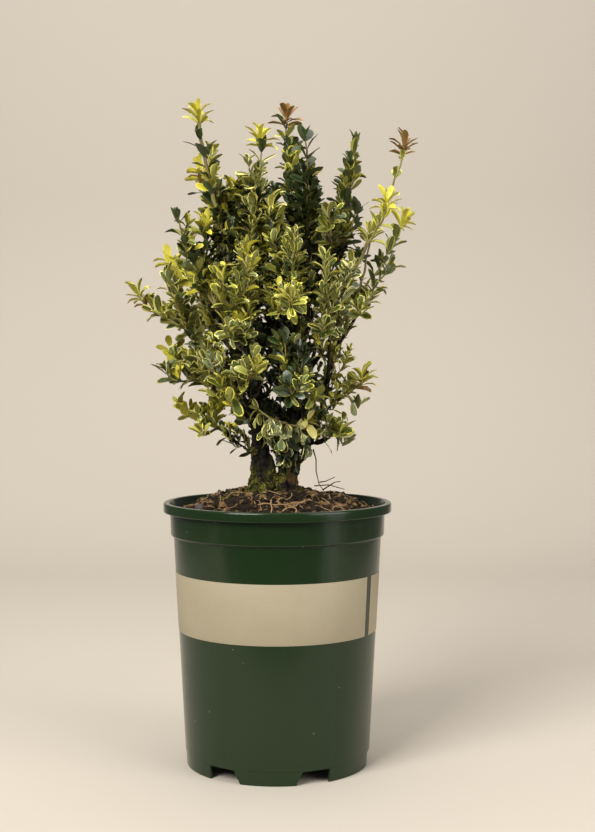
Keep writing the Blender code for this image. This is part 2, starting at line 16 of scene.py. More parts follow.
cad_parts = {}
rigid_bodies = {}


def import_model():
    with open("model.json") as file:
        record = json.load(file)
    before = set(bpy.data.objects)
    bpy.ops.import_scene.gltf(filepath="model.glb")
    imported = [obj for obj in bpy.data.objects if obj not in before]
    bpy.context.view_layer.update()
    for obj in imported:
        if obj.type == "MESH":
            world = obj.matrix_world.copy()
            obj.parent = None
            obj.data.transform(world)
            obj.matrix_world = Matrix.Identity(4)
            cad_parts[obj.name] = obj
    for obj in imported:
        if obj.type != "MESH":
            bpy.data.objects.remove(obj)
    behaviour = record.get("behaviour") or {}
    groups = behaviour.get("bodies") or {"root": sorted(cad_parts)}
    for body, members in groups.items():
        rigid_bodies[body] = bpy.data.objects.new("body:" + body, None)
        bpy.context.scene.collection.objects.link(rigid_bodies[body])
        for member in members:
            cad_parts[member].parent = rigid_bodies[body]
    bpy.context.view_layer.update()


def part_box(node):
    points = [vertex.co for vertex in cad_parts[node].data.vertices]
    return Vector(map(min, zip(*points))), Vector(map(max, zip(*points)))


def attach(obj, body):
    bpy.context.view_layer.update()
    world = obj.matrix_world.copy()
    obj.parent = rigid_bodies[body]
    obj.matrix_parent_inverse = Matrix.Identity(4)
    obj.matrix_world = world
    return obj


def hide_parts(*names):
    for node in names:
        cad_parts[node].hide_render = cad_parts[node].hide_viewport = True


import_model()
SEED = 41
GAP = 0.0003  # what neighbouring solids keep clear of each other


# ---- Nursery pot ------------------------------------------------------------------------------
# Injection-moulded polypropylene, dark green right through. The wall tapers so that pots stack,
# a rolled lip and a stepped band stiffen the mouth, and six notches in the skirt drain the foot.

LIP_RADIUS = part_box("pot")[1].x
POT_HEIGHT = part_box("pot")[1].z
LIP_FOOT = POT_HEIGHT - 0.0068
BAND_RADIUS = 0.0777
BAND_FOOT_RADIUS = 0.0772
BAND_FOOT = 0.1660
SHOULDER_RADIUS = 0.0751
SHOULDER = 0.1648
BASE_RADIUS = 0.0663
WALL = 0.0015
FLOOR_UNDERSIDE = 0.0085
SKIRT_WALL = 0.0023
FOOT_LINE = 0.0104
FOOT_INSET = 0.00035
PAD_RADIUS = 0.022
LIP_FLARE = 0.0022
POT_STEPS = 240

NOTCH_COUNT = 6
NOTCH_HEIGHT = 0.010
NOTCH_BELOW = -0.002
NOTCH_HALF_ANGLE = math.radians(8.9)
NOTCH_SLANT_ANGLE = math.radians(4.2)
FIRST_FOOT_ANGLE = math.radians(-6)

POT_GREEN = (0.0079, 0.0224, 0.0056)
POT_GREEN_WORN = (0.0118, 0.0280, 0.0088)
SOIL_SPECK = (0.0016, 0.0016, 0.0010)
DUST_SPECK = (0.22, 0.23, 0.17)


class Value:
    """One value in a node tree. Arithmetic on it adds Math nodes."""

    def __init__(self, tree, socket):
        self.tree = tree
        self.socket = socket

    def math(self, operation, *values, clamp=False):
        settings = {"operation": operation, "use_clamp": clamp}
        return self.tree.add("ShaderNodeMath", settings, dict(enumerate(values)))

    def __add__(self, other):
        return self.math("ADD", self, other)

    def __sub__(self, other):
        return self.math("SUBTRACT", self, other)

    def __rsub__(self, other):
        return self.math("SUBTRACT", other, self)

    def __mul__(self, other):
        return self.math("MULTIPLY", self, other)

    __radd__ = __add__
    __rmul__ = __mul__

    def over(self, edge, soft):
        """A mask that turns from 0 to 1 over a soft step centred on the edge."""
        return self.math("MULTIPLY_ADD", self, 1 / soft, 0.5 - edge / soft, clamp=True)

    def under(self, edge, soft):
        return 1 - self.over(edge, soft)


class Tree:
    """A node tree being wired: a node is added by its type, its settings and its sockets."""

    def __init__(self, tree):
        self.tree = tree

    def add(self, kind, settings=(), sockets=(), out=0):
        node = self.tree.nodes.new(kind)
        for name, value in dict(settings).items():
            setattr(node, name, value)
        for name, value in dict(sockets).items():
            self.plug(node.inputs[name], value)
        return Value(self, node.outputs[out])

    def plug(self, socket, value):
        if isinstance(value, Value):
            self.tree.links.new(value.socket, socket)
        elif socket.type == "RGBA":
            socket.default_value = (*value, 1.0)
        else:
            socket.default_value = value


class Finish(Tree):
    """A material. Numbers that don't vary are set on its shader, and the rest is wired to it."""

    def __init__(self, name, colour, roughness, specular=0.5):
        self.material = bpy.data.materials.new(name)
        self.material.use_nodes = True
        super().__init__(self.material.node_tree)
        self.shader = self.tree.nodes["Principled BSDF"]
        self.plug(self.shader.inputs["Base Color"], colour)
        self.plug(self.shader.inputs["Roughness"], roughness)
        self.plug(self.shader.inputs["Specular IOR Level"], specular)

    def place(self, stretch=(1, 1, 1)):
        """Object coordinates, stretched along an axis where the pattern is."""
        at = self.add("ShaderNodeTexCoord", out="Object")
        return self.add("ShaderNodeMapping", {}, {"Vector": at, "Scale": stretch})

    def noise(self, at, scale, detail=2.0):
        sockets = {"Vector": at, "Scale": scale, "Detail": detail}
        return self.add("ShaderNodeTexNoise", {}, sockets)

    def specks(self, at, scale, size):
        """Round spots, each inside its own cell, on about one cell in three."""
        sockets = {"Vector": at, "Scale": scale}
        away = self.add("ShaderNodeTexVoronoi", {}, sockets)
        chance = self.add("ShaderNodeTexWhiteNoise", {"noise_dimensions": "3D"}, {
            "Vector": self.add("ShaderNodeTexVoronoi", {}, sockets, out="Position"),
        })
        return away.under(size, size / 2) * chance.over(0.65, 0.01)

    def blend(self, share, low, high):
        """A colour between two others, by a mask."""
        sockets = {0: share, 6: low, 7: high}
        return self.add("ShaderNodeMix", {"data_type": "RGBA"}, sockets, out=2)

    def colour(self, value):
        self.plug(self.shader.inputs["Base Color"], value)

    def rough(self, value):
        self.plug(self.shader.inputs["Roughness"], value)

    def grained(self, grain, low, high, soft, edge=0.5):
        """Colour by a pattern: one colour below its edge and another above it."""
        self.colour(self.blend(grain.over(edge, soft), low, high))

    def bump(self, height, depth):
        sockets = {"Height": height, "Distance": depth}
        self.plug(self.shader.inputs["Normal"], self.add("ShaderNodeBump", {}, sockets))


def wall_radius(height):
    return BASE_RADIUS + (SHOULDER_RADIUS - BASE_RADIUS) * height / SHOULDER


def rounded(corners, steps=5):
    """An outline of (radius, height, rounding) corners as points, each rounded one as an arc."""
    points = []
    for number, (*corner, rounding) in enumerate(corners):
        here = Vector(corner)
        if not rounding:
            points.append(here)
            continue
        back = (Vector(corners[number - 1][:2]) - here).normalized()
        ahead = (Vector(corners[number + 1][:2]) - here).normalized()
        reach = rounding / math.tan(back.angle(ahead) / 2)
        for i in range(steps + 1):
            share = i / steps
            points.append(here + back * reach * (1 - share) ** 2 + ahead * reach * share**2)
    return points


def new_object(name, mesh):
    made = bpy.data.objects.new(name, mesh)
    bpy.context.scene.collection.objects.link(made)
    return made


def mesh_of(name, shape):
    """The plain mesh of a shape worked out in bmesh."""
    mesh = bpy.data.meshes.new(name)
    shape.to_mesh(mesh)
    shape.free()
    return mesh


def settled(obj):
    """The object with its modifiers worked into a plain mesh."""
    bpy.context.view_layer.update()
    graph = bpy.context.evaluated_depsgraph_get()
    mesh = bpy.data.meshes.new_from_object(obj.evaluated_get(graph))
    obj.modifiers.clear()
    old, obj.data = obj.data, mesh
    bpy.data.meshes.remove(old)
    return obj


def outward(obj, weld=1e-6):
    shape = bmesh.new()
    shape.from_mesh(obj.data)
    bmesh.ops.remove_doubles(shape, verts=shape.verts, dist=weld)
    bmesh.ops.recalc_face_normals(shape, faces=shape.faces)
    shape.to_mesh(obj.data)
    shape.free()
    return obj


def smooth(obj, sharp_over=math.radians(40)):
    obj.data.shade_smooth()
    obj.data.set_sharp_from_angle(angle=sharp_over)
    return obj


def turned(name, outline, steps):
    """An outline in the XZ plane turned round the Z axis."""
    mesh = bpy.data.meshes.new(name)
    count = len(outline)
    mesh.from_pydata([(r, 0, z) for r, z in outline], [(i, i + 1) for i in range(count - 1)], [])
    made = new_object(name, mesh)
    screw = made.modifiers.new("Turn", "SCREW")
    screw.steps = screw.render_steps = steps
    screw.use_merge_vertices = True
    screw.merge_threshold = 0.00002
    return outward(settled(made))


pot = turned("nursery_pot", rounded([
    (0, FLOOR_UNDERSIDE + WALL, 0),
    (wall_radius(FLOOR_UNDERSIDE) - WALL, FLOOR_UNDERSIDE + WALL, 0.002),
    (SHOULDER_RADIUS - WALL, SHOULDER, 0.0005),
    (BAND_FOOT_RADIUS - WALL, BAND_FOOT, 0.0005),
    (BAND_RADIUS - WALL, LIP_FOOT, 0.002),
    (BAND_RADIUS - WALL + LIP_FLARE, POT_HEIGHT, 0.0010),
    (LIP_RADIUS, POT_HEIGHT, 0.0017),
    (LIP_RADIUS, LIP_FOOT, 0.0008),
    (BAND_RADIUS, LIP_FOOT, 0.0005),
    (BAND_FOOT_RADIUS, BAND_FOOT, 0.0013),
    (SHOULDER_RADIUS, SHOULDER, 0.0003),
    (wall_radius(FOOT_LINE), FOOT_LINE, 0),
    (wall_radius(FOOT_LINE) - FOOT_INSET, FOOT_LINE - FOOT_INSET, 0),
    (BASE_RADIUS - FOOT_INSET, 0, 0.0006),
    (BASE_RADIUS - SKIRT_WALL, 0, 0.0004),
    (wall_radius(FLOOR_UNDERSIDE) - SKIRT_WALL, FLOOR_UNDERSIDE, 0),
    (PAD_RADIUS + WALL / 2, FLOOR_UNDERSIDE, 0),
    (PAD_RADIUS, 0, 0),
    (0, 0, 0),
]), POT_STEPS)

notches = bmesh.new()
for number in range(NOTCH_COUNT):
    middle = FIRST_FOOT_ANGLE + 2 * math.pi / NOTCH_COUNT * (number + 0.5)
    slant_side = -1 if number % 2 == 0 else 1
    for vert in bmesh.ops.create_cube(notches, size=1.0)["verts"]:
        outer = vert.co.y < 0
        side = 1 if vert.co.x > 0 else -1
        height = NOTCH_HEIGHT if vert.co.z > 0 else NOTCH_BELOW
        turn = side * NOTCH_HALF_ANGLE
        if side == slant_side:
            turn += side * NOTCH_SLANT_ANGLE * (1 - height / NOTCH_HEIGHT)
        radius = BASE_RADIUS + (SKIRT_WALL if outer else -2 * SKIRT_WALL)
        across = Matrix.Rotation(middle + turn, 3, "Z") @ Vector((0, -radius, 0))
        if not outer:
            height = min(height, FLOOR_UNDERSIDE - GAP)
        vert.co = (across.x, across.y, height)
notch_cutter = new_object("drain_notches", mesh_of("drain_notches", notches))
cut = pot.modifiers.new("Notches", "BOOLEAN")
cut.object = notch_cutter
settled(pot)
bpy.data.objects.remove(notch_cutter)
smooth(pot)

plastic = Finish("pot_plastic", POT_GREEN, roughness=0.20, specular=0.38)
here = plastic.place()
cloudy = plastic.noise(here, scale=22, detail=4).over(0.55, 0.5)
worn = plastic.noise(plastic.place((1, 1, 0.12)), scale=260, detail=3).over(0.62, 0.25)
soiled = plastic.specks(here, scale=75, size=0.062)
dusty = plastic.specks(here, scale=130, size=0.05)
green = plastic.blend(cloudy * 0.35 + worn * 0.25, POT_GREEN, POT_GREEN_WORN)
plastic.colour(plastic.blend(dusty, plastic.blend(soiled, green, SOIL_SPECK), DUST_SPECK))
plastic.rough(0.17 + cloudy * 0.06 + worn * 0.06 + soiled * 0.3 + dusty * 0.3)
ripple = plastic.noise(here, scale=420) * 0.5 + plastic.noise(here, scale=60)
plastic.bump(ripple, depth=0.00006)
pot.data.materials.append(plastic.material)
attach(pot, "root")
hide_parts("pot")


# ---- Label ------------------------------------------------------------------------------------
# A cream band moulded into the pot's wall, about 42 mm high, left plain. Its two ends come
# 6 mm apart towards the right of the front, so a line of green shows between them.

LABEL_FOOT = 0.0976
LABEL_TOP = 0.1398
LABEL_PROUD = 0.00022
LABEL_GAP_ANGLE = math.radians(-29.3)
LABEL_GAP = 0.0062
LABEL_STEPS = 240
LABEL_CREAM = (0.375, 0.325, 0.220)
LABEL_AGED = (0.315, 0.270, 0.176)

gap_angle = LABEL_GAP / wall_radius((LABEL_FOOT + LABEL_TOP) / 2)
band = bmesh.new()
proud = [
    band.verts.new((wall_radius(height) + out, 0, height))
    for height, out in (
        (LABEL_FOOT, -WALL / 2),
        (LABEL_FOOT, LABEL_PROUD / 2),
        (LABEL_FOOT + LABEL_PROUD, LABEL_PROUD),
        (LABEL_TOP - LABEL_PROUD, LABEL_PROUD),
        (LABEL_TOP, LABEL_PROUD / 2),
        (LABEL_TOP, -WALL / 2),
    )
]
first = band.faces.new(proud)
bmesh.ops.rotate(
    band, verts=band.verts, cent=(0, 0, 0),
    matrix=Matrix.Rotation(LABEL_GAP_ANGLE + gap_angle / 2, 3, "Z"),
)
bmesh.ops.spin(
    band, geom=[first, *first.edges, *first.verts], cent=(0, 0, 0), axis=(0, 0, 1),
    angle=2 * math.pi - gap_angle, steps=LABEL_STEPS,
)
bmesh.ops.holes_fill(band, edges=[edge for edge in band.edges if edge.is_boundary])
label = smooth(outward(new_object("label_band", mesh_of("label_band", band))))

print_cream = Finish("label_cream", LABEL_CREAM, roughness=0.55, specular=0.4)
here = print_cream.place()
aged = print_cream.noise(here, scale=30, detail=5).over(0.52, 0.35)
fibre = print_cream.noise(print_cream.place((1, 1, 3)), scale=500, detail=3).over(0.56, 0.3)
flecks = print_cream.specks(here, scale=110, size=0.045)
cream = print_cream.blend(aged * 0.4 + fibre * 0.22, LABEL_CREAM, LABEL_AGED)
print_cream.colour(print_cream.blend(flecks * 0.6, cream, SOIL_SPECK))
print_cream.rough(0.5 + fibre * 0.12)
print_cream.bump(fibre, depth=0.00003)
label.data.materials.append(print_cream.material)
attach(label, "root")


# ---- Potting mix ------------------------------------------------------------------------------
# Composted bark, heaped a little over the rim round the stems and fallen away from the wall.
# Chips and crumbs of bark lie loose on it, with fine tan roots and a few stones among them.

SOIL_TOP = 0.1960
SOIL_LEVEL_RADIUS = 0.027
SOIL_EDGE_DROP = 0.0175
SOIL_EVEN_FALL = 0.35
SOIL_EDGE = BAND_FOOT_RADIUS - WALL - GAP
SOIL_RINGS = 74
SOIL_STEPS = 220
SOIL_LUMPS = ((0.0038, 48), (0.0019, 110), (0.0013, 230))  # how high, how many to a metre
SOIL_CALM_EDGE = 0.004  # lumps die away over this much at the wall
CHIP_SHAPES = (
    (1.0, 0.7, 0.35), (1.0, 0.45, 0.30), (0.8, 0.8, 0.55), (1.3, 0.35, 0.25), (0.9, 0.7, 0.7),
)
CHIP_KNOCK = 0.28
CHIP_SIZES = (0.0007, 0.0040)
CHIP_DENSITY = 110000.0
CHIP_WALL_ROOM = 1.2
LYING_TILT = 0.6
TAN_SHARE = 0.27
SOIL_DARK = (0.0035, 0.0024, 0.0016)
SOIL_BROWN = (0.0300, 0.0190, 0.0090)
CHIP_TAN = (0.290, 0.180, 0.070)
ROOT_TAN = (0.26, 0.150, 0.060)
ROOT_PALE = (0.34, 0.225, 0.110)
STONE = (0.060, 0.046, 0.044)


def soil_height(radius):
    share = max(0.0, (radius - SOIL_LEVEL_RADIUS) / (SOIL_EDGE - SOIL_LEVEL_RADIUS))
    return SOIL_TOP - SOIL_EDGE_DROP * (SOIL_EVEN_FALL * share + (1 - SOIL_EVEN_FALL) * share**2)


def soil_surface(x, y):
    """Height of the uneven surface, lumps and crumbs included."""
    at = Vector((x, y, 0))
    lumps = sum(high * noise.noise(at * pitch) for high, pitch in SOIL_LUMPS)
    edge = min(1.0, (SOIL_EDGE - math.hypot(x, y)) / SOIL_CALM_EDGE)
    return soil_height(math.hypot(x, y)) + lumps * max(edge, 0)


class Grower(Tree):
    """A Geometry Nodes tree with named inputs."""

    def __init__(self, name, **inputs):
        group = bpy.data.node_groups.new(name, "GeometryNodeTree")
        super().__init__(group)
        group.interface.new_socket("Geometry", in_out="OUTPUT", socket_type="NodeSocketGeometry")
        group.interface.new_socket("Geometry", in_out="INPUT", socket_type="NodeSocketGeometry")
        for label, kind in inputs.items():
            group.interface.new_socket(label, in_out="INPUT", socket_type=f"NodeSocket{kind}")
        self.inlet = group.nodes.new("NodeGroupInput")
        self.outlet = group.nodes.new("NodeGroupOutput")

    def given(self, name):
        return Value(self, self.inlet.outputs[name])

    def named(self, name, kind):
        return self.add("GeometryNodeInputNamedAttribute", {"data_type": kind}, {"Name": name})

    def boxed_shapes(self):
        """The shapes in the tree's box, one instance of each."""
        return self.add("GeometryNodeCollectionInfo", {}, {
            "Collection": self.given("Box"), "Separate Children": True, "Reset Children": True,
        })

    def realized(self, geometry):
        return self.add("GeometryNodeRealizeInstances", {}, {"Geometry": geometry})

    def surfaced(self, geometry, material, **chosen):
        sockets = {"Geometry": geometry, "Material": material, **chosen}
        return self.add("GeometryNodeSetMaterial", {}, sockets)

    def finish(self, geometry):
        self.plug(self.outlet.inputs[0], geometry)

    def run(self, obj, **values):
        """Runs the tree on an object and leaves it with the plain mesh that comes out."""
        modifier = obj.modifiers.new(self.tree.name, "NODES")
        modifier.node_group = self.tree
        for item in self.tree.interface.items_tree:
            if item.in_out == "INPUT" and item.name in values:
                modifier[item.identifier] = values[item.name]
        return settled(obj)


soil_shape = bmesh.new()
rings = []
for i in range(1, SOIL_RINGS + 1):
    radius = SOIL_EDGE * i / SOIL_RINGS
    turns = [2 * math.pi * k / SOIL_STEPS for k in range(SOIL_STEPS)]
    spots = [(radius * math.cos(turn), radius * math.sin(turn)) for turn in turns]
    rings.append([soil_shape.verts.new((x, y, soil_surface(x, y))) for x, y in spots])
for radius, height in (
    (SHOULDER_RADIUS - WALL - GAP, SHOULDER),
    (wall_radius(FLOOR_UNDERSIDE) - WALL - GAP, FLOOR_UNDERSIDE + WALL + GAP),
):
    rings.append([
        soil_shape.verts.new((radius * math.cos(turn), radius * math.sin(turn), height))
        for turn in turns
    ])
for inner, outer in zip(rings, rings[1:]):
    for k in range(SOIL_STEPS):
        ahead = (k + 1) % SOIL_STEPS
        soil_shape.faces.new((inner[k], outer[k], outer[ahead], inner[ahead]))
soil_shape.faces.new(rings[0])
soil_shape.faces.new(rings[-1][::-1])
bmesh.ops.recalc_face_normals(soil_shape, faces=soil_shape.faces)
soil = new_object("potting_mix", mesh_of("potting_mix", soil_shape))
soil.data.shade_smooth()

compost = Finish("composted_bark", SOIL_BROWN, roughness=0.95, specular=0.2)
here = compost.place()
crumbs = compost.noise(here, scale=420, detail=5)
patches = compost.noise(here, scale=60, detail=3).over(0.5, 0.4)
fibres = compost.noise(compost.place((1, 2.5, 1)), scale=900).over(0.64, 0.12)
earth = compost.blend(crumbs.over(0.5, 0.3), SOIL_DARK, SOIL_BROWN)
compost.colour(compost.blend(fibres * patches, earth, CHIP_TAN))
compost.rough(0.85 + crumbs * 0.15)
compost.bump(crumbs + fibres * 0.4, depth=0.0012)
soil.data.materials.append(compost.material)
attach(soil, "root")
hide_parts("soil")


def chip(name, stretch, dice):
    """A broken chip: a coarse ball squashed and knocked out of shape."""
    shape = bmesh.new()
    bmesh.ops.create_icosphere(shape, subdivisions=1, radius=1.0)
    for vert in shape.verts:
        knock = 1 + dice.uniform(-CHIP_KNOCK, CHIP_KNOCK)
        vert.co = Vector([c * s * knock for c, s in zip(vert.co, stretch)])
    return mesh_of(name, shape)


def boxed(name, meshes):
    """A collection of shapes for a tree to pick from. It is emptied at the end."""
    box = bpy.data.collections.new(name)
    bpy.context.scene.collection.children.link(box)
    for mesh in meshes:
        box.objects.link(bpy.data.objects.new(mesh.name, mesh))
    return box


chip_dice = random.Random(f"{SEED} chips")
chip_box = boxed("bark_chips_box", [
    chip(f"chip_{number}", stretch, chip_dice) for number, stretch in enumerate(CHIP_SHAPES)
])

scatter = Grower(
    "scatter_on_top", Box="Collection", Density="Float", Smallest="Float", Largest="Float",
    Steepest="Float", Seed="Int", Surface="Material", Other="Material", Share="Float",
)
facing = scatter.add("GeometryNodeInputNormal")
upward = scatter.add("ShaderNodeSeparateXYZ", {}, {0: facing}, out="Z")
spots = scatter.add(
    "GeometryNodeDistributePointsOnFaces", {},
    {
        "Mesh": scatter.given("Geometry"),
        "Density": scatter.given("Density"),
        "Seed": scatter.given("Seed"),
        "Selection": upward.math("GREATER_THAN", upward, scatter.given("Steepest")),
    },
)
size = scatter.add(
    "FunctionNodeRandomValue", {"data_type": "FLOAT"},
    {2: scatter.given("Smallest"), 3: scatter.given("Largest"), "Seed": 1}, out=1,
)
spin = scatter.add(
    "FunctionNodeRandomValue", {"data_type": "FLOAT_VECTOR"},
    {
        0: (-LYING_TILT, -LYING_TILT, 0.0),
        1: (LYING_TILT, LYING_TILT, 2 * math.pi),
        "Seed": 2,
    },
)
lying = scatter.add("GeometryNodeInstanceOnPoints", {}, {
    "Points": spots,
    "Instance": scatter.boxed_shapes(),
    "Pick Instance": True,
    "Rotation": spin,
    "Scale": size,
})
dealt = scatter.add(
    "FunctionNodeRandomValue", {"data_type": "FLOAT"}, {2: 0.0, 3: 1.0, "Seed": 3}, out=1,
)
marked = scatter.add(
    "GeometryNodeStoreNamedAttribute", {"data_type": "FLOAT", "domain": "INSTANCE"},
    {"Geometry": lying, "Name": "dealt", "Value": dealt},
)
whole = scatter.surfaced(scatter.realized(marked), scatter.given("Surface"))
lot = scatter.named("dealt", "FLOAT")
chosen = lot.math("LESS_THAN", lot, scatter.given("Share"))
scatter.finish(scatter.surfaced(whole, scatter.given("Other"), Selection=chosen))

bark_chip = Finish("bark_chip", SOIL_BROWN, roughness=0.9, specular=0.25)
grain = bark_chip.noise(bark_chip.place((1, 1, 0.4)), scale=650, detail=4)
bark_chip.grained(grain, SOIL_DARK, SOIL_BROWN, soft=0.35)
bark_chip.rough(0.75 + grain * 0.3)
bark_chip.bump(grain, depth=0.0006)

tan_chip = Finish("tan_chip", CHIP_TAN, roughness=0.9, specular=0.25)
grain = tan_chip.noise(tan_chip.place((1, 1, 0.4)), scale=500, detail=4)
tan_chip.grained(grain, SOIL_BROWN, CHIP_TAN, soft=0.4)
tan_chip.rough(0.75 + grain * 0.25)
tan_chip.bump(grain, depth=0.0005)

chip_bed = bmesh.new()
chip_bed.from_mesh(soil.data)
near_wall = [
    face for face in chip_bed.faces
    if face.calc_center_median().xy.length > SOIL_EDGE - CHIP_SIZES[1] * CHIP_WALL_ROOM
]
bmesh.ops.delete(chip_bed, geom=near_wall, context="FACES")
chips = new_object("bark_chips", mesh_of("bark_chips", chip_bed))
scatter.run(
    chips, Box=chip_box, Density=CHIP_DENSITY, Smallest=CHIP_SIZES[0], Largest=CHIP_SIZES[1],
    Steepest=0.3, Seed=SEED, Surface=bark_chip.material, Other=tan_chip.material,
    Share=TAN_SHARE,
)
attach(chips, "root")

# Fine tan fibres lie over the soil, with a few longer roots across the front.
FIBRE_COUNT = 120
ROOT_COUNT = 6
FIBRE_LENGTH = (0.006, 0.026)
FIBRE_RADIUS = (0.00012, 0.00040)
FIBRE_STEPS = 9
FIBRE_LIFT = 0.0034
FIBRE_TURN = 0.6
ROOT_LENGTH = 0.034
ROOT_RADIUS = 0.00062
TWIG_SIDES = 6
TWIG_SHARP = math.radians(60)
ROOT_START = ((-0.016, 0.016), (-0.062, -0.040))


def along_paths(name, paths, sides, material):
    """Tapering round rods along paths of (points, radii, age), capped at both ends."""
    mesh = bpy.data.meshes.new(name)
    points, edges, girths, ages = [], [], [], []
    for path, radii, age in paths:
        first = len(points)
        points += [tuple(point) for point in path]
        edges += [(first + i, first + i + 1) for i in range(len(path) - 1)]
        girths += list(radii)
        ages += [age] * len(path)
    mesh.from_pydata(points, edges, [])
    mesh.attributes.new("girth", "FLOAT", "POINT").data.foreach_set("value", girths)
    mesh.attributes.new("age", "FLOAT", "POINT").data.foreach_set("value", ages)
    made = new_object(name, mesh)
    return rods.run(made, Sides=sides, Surface=material)


rods = Grower("rods_along_paths", Sides="Int", Surface="Material")
centre_lines = rods.add("GeometryNodeMeshToCurve", {}, {"Mesh": rods.given("Geometry")})
section = rods.add(
    "GeometryNodeCurvePrimitiveCircle", {}, {"Resolution": rods.given("Sides"), "Radius": 1.0},
)
drawn = rods.add("GeometryNodeCurveToMesh", {}, {
    "Curve": centre_lines,
    "Profile Curve": section,
    "Scale": rods.named("girth", "FLOAT"),
    "Fill Caps": True,
})
rods.finish(rods.surfaced(rods.realized(drawn), rods.given("Surface")))

fibre_dice = random.Random(f"{SEED} fibres")
fibres = []
for number in range(FIBRE_COUNT):
    turn = fibre_dice.uniform(0, 2 * math.pi)
    away = SOIL_EDGE * 0.96 * math.sqrt(fibre_dice.uniform(0.03, 1))
    spot = Vector((away * math.cos(turn), away * math.sin(turn)))
    heading = fibre_dice.uniform(0, 2 * math.pi)
    step = fibre_dice.uniform(*FIBRE_LENGTH) / FIBRE_STEPS
    girth = fibre_dice.uniform(*FIBRE_RADIUS)
    lift = fibre_dice.uniform(0, FIBRE_LIFT)
    if number < ROOT_COUNT:
        spot = Vector([fibre_dice.uniform(*limits) for limits in ROOT_START])
        heading = fibre_dice.uniform(-0.3, 0.3)
        step, girth = ROOT_LENGTH / FIBRE_STEPS, ROOT_RADIUS
    path = []
    for i in range(FIBRE_STEPS + 1):
        if spot.length > SOIL_EDGE - 0.001:
            break
        bow = lift * math.sin(math.pi * i / FIBRE_STEPS)
        path.append((spot.x, spot.y, soil_surface(*spot) + girth * 0.6 + bow))
        heading += fibre_dice.uniform(-FIBRE_TURN, FIBRE_TURN)
        spot = spot + Vector((math.cos(heading), math.sin(heading))) * step
    if len(path) > 3:
        age = fibre_dice.choice((0.0, 1.0, 1.0))
        fibres.append((path, [girth * (1 - 0.5 * i / len(path)) for i in range(len(path))], age))
fibre_tan = Finish("soil_fibre", ROOT_TAN, roughness=0.8, specular=0.3)
streaks = fibre_tan.noise(fibre_tan.place(), scale=160, detail=4)
fibre_tan.grained(streaks, ROOT_TAN, ROOT_PALE, soft=0.3, edge=0.48)
fibre_tan.rough(0.7 + streaks * 0.2)
fibre_tan.bump(streaks, depth=0.0003)
soil_fibres = along_paths("soil_fibres", fibres, TWIG_SIDES, fibre_tan.material)
smooth(soil_fibres, TWIG_SHARP)
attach(soil_fibres, "root")

# A few rounded stones and tan pellets of old fertiliser lie on top.
PEBBLE_COUNT = 26
PEBBLE_RADII = (0.0010, 0.0012, 0.0014, 0.0018)
LARGEST_PEBBLE = (-0.055, -0.026, 0.0040)

stone_dice = random.Random(f"{SEED} stones")
pebbles = bmesh.new()
for number in range(PEBBLE_COUNT):
    turn = stone_dice.uniform(0, 2 * math.pi)
    away = SOIL_EDGE * 0.93 * math.sqrt(stone_dice.uniform(0.1, 1))
    x, y = away * math.cos(turn), away * math.sin(turn)
    radius = stone_dice.choice(PEBBLE_RADII)
    if number == 0:
        x, y, radius = LARGEST_PEBBLE
    flat = (1, stone_dice.uniform(0.75, 1), stone_dice.uniform(0.6, 0.95))
    placed = Matrix.Translation((x, y, soil_surface(x, y) + radius * 0.35))
    placed @= Matrix.Rotation(stone_dice.uniform(0, 6), 4, "Z") @ Matrix.Diagonal((*flat, 1))
    bmesh.ops.create_icosphere(pebbles, subdivisions=3, radius=radius, matrix=placed)
stones = new_object("pebbles", mesh_of("pebbles", pebbles))
stones.data.shade_smooth()
stone = Finish("stone", STONE, roughness=0.7)
here = stone.place()
tone = stone.noise(here, scale=25, detail=1)
grain = stone.noise(here, scale=700, detail=3)
stone.grained(tone, STONE, stone.blend(grain, ROOT_TAN, CHIP_TAN), soft=0.06)
stone.rough(0.55 + grain * 0.3)
stone.bump(grain, depth=0.0002)
stones.data.materials.append(stone.material)
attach(stones, "root")


# ---- Trunk, stems and boughs ------------------------------------------------------------------
# Old wood, grown. Two thick stems and a thin one part at the soil on flared roots, their corky
# bark cracked lengthwise; each thinner bough leaves its stem for the mass that it feeds.

FORK_HEIGHT = 0.2095
FLARE_CROWN = Vector((-0.0025, 0, SOIL_TOP))
FLARE_REACH = 0.023
FLARE_ANGLES = (200, 248, 292, 338, 20, 75, 135)
FLARE_OVAL = 0.7
FLARE_RADII = (0.0044, 0.0034, 0.0016)
STEM_TAPER = 0.8
STEM_FEET = ((0.018, 1.8), (0.009, 1.4))  # how far under the fork, how many times as thick
STEM_COLLAR = 1.12
STEM_END = 0.85
WOOD_SIDES = 14
BARK_VOXEL = 0.00056
BARK_RELIEF = 0.0021
BOUGH_RELIEF = 0.12  # the share of the relief that young bark has
BARK_THINS_OVER = 0.11
STEM_NEAR = 0.022
BARK_DARK = (0.0022, 0.0017, 0.0012)
BARK_BROWN = (0.0120, 0.0088, 0.0052)
BARK_KHAKI = (0.045, 0.034, 0.017)
MOSS_GREEN = (0.024, 0.026, 0.006)
RUST_STREAK = (0.17, 0.075, 0.022)

# Each stem's centre line, in millimetres, and its radius at the foot and at the tip.
STEMS = {
    "left": (
        ((-12, -3, 208), (-14, -4, 223), (-14, -7, 240), (-13, -8, 263), (-19, -8, 312)), 6.6, 2.6,
    ),
    "right": (
        ((7, 3, 208), (10, 4, 222), (12, 6, 240), (13, 8, 263), (19, 9, 318)), 6.9, 2.6,
    ),
    "slim": (
        ((9, 0, 207), (22, -1, 226), (30, 0, 250), (38, 2, 281), (43, 4, 306)), 2.4, 1.5,
    ),
}

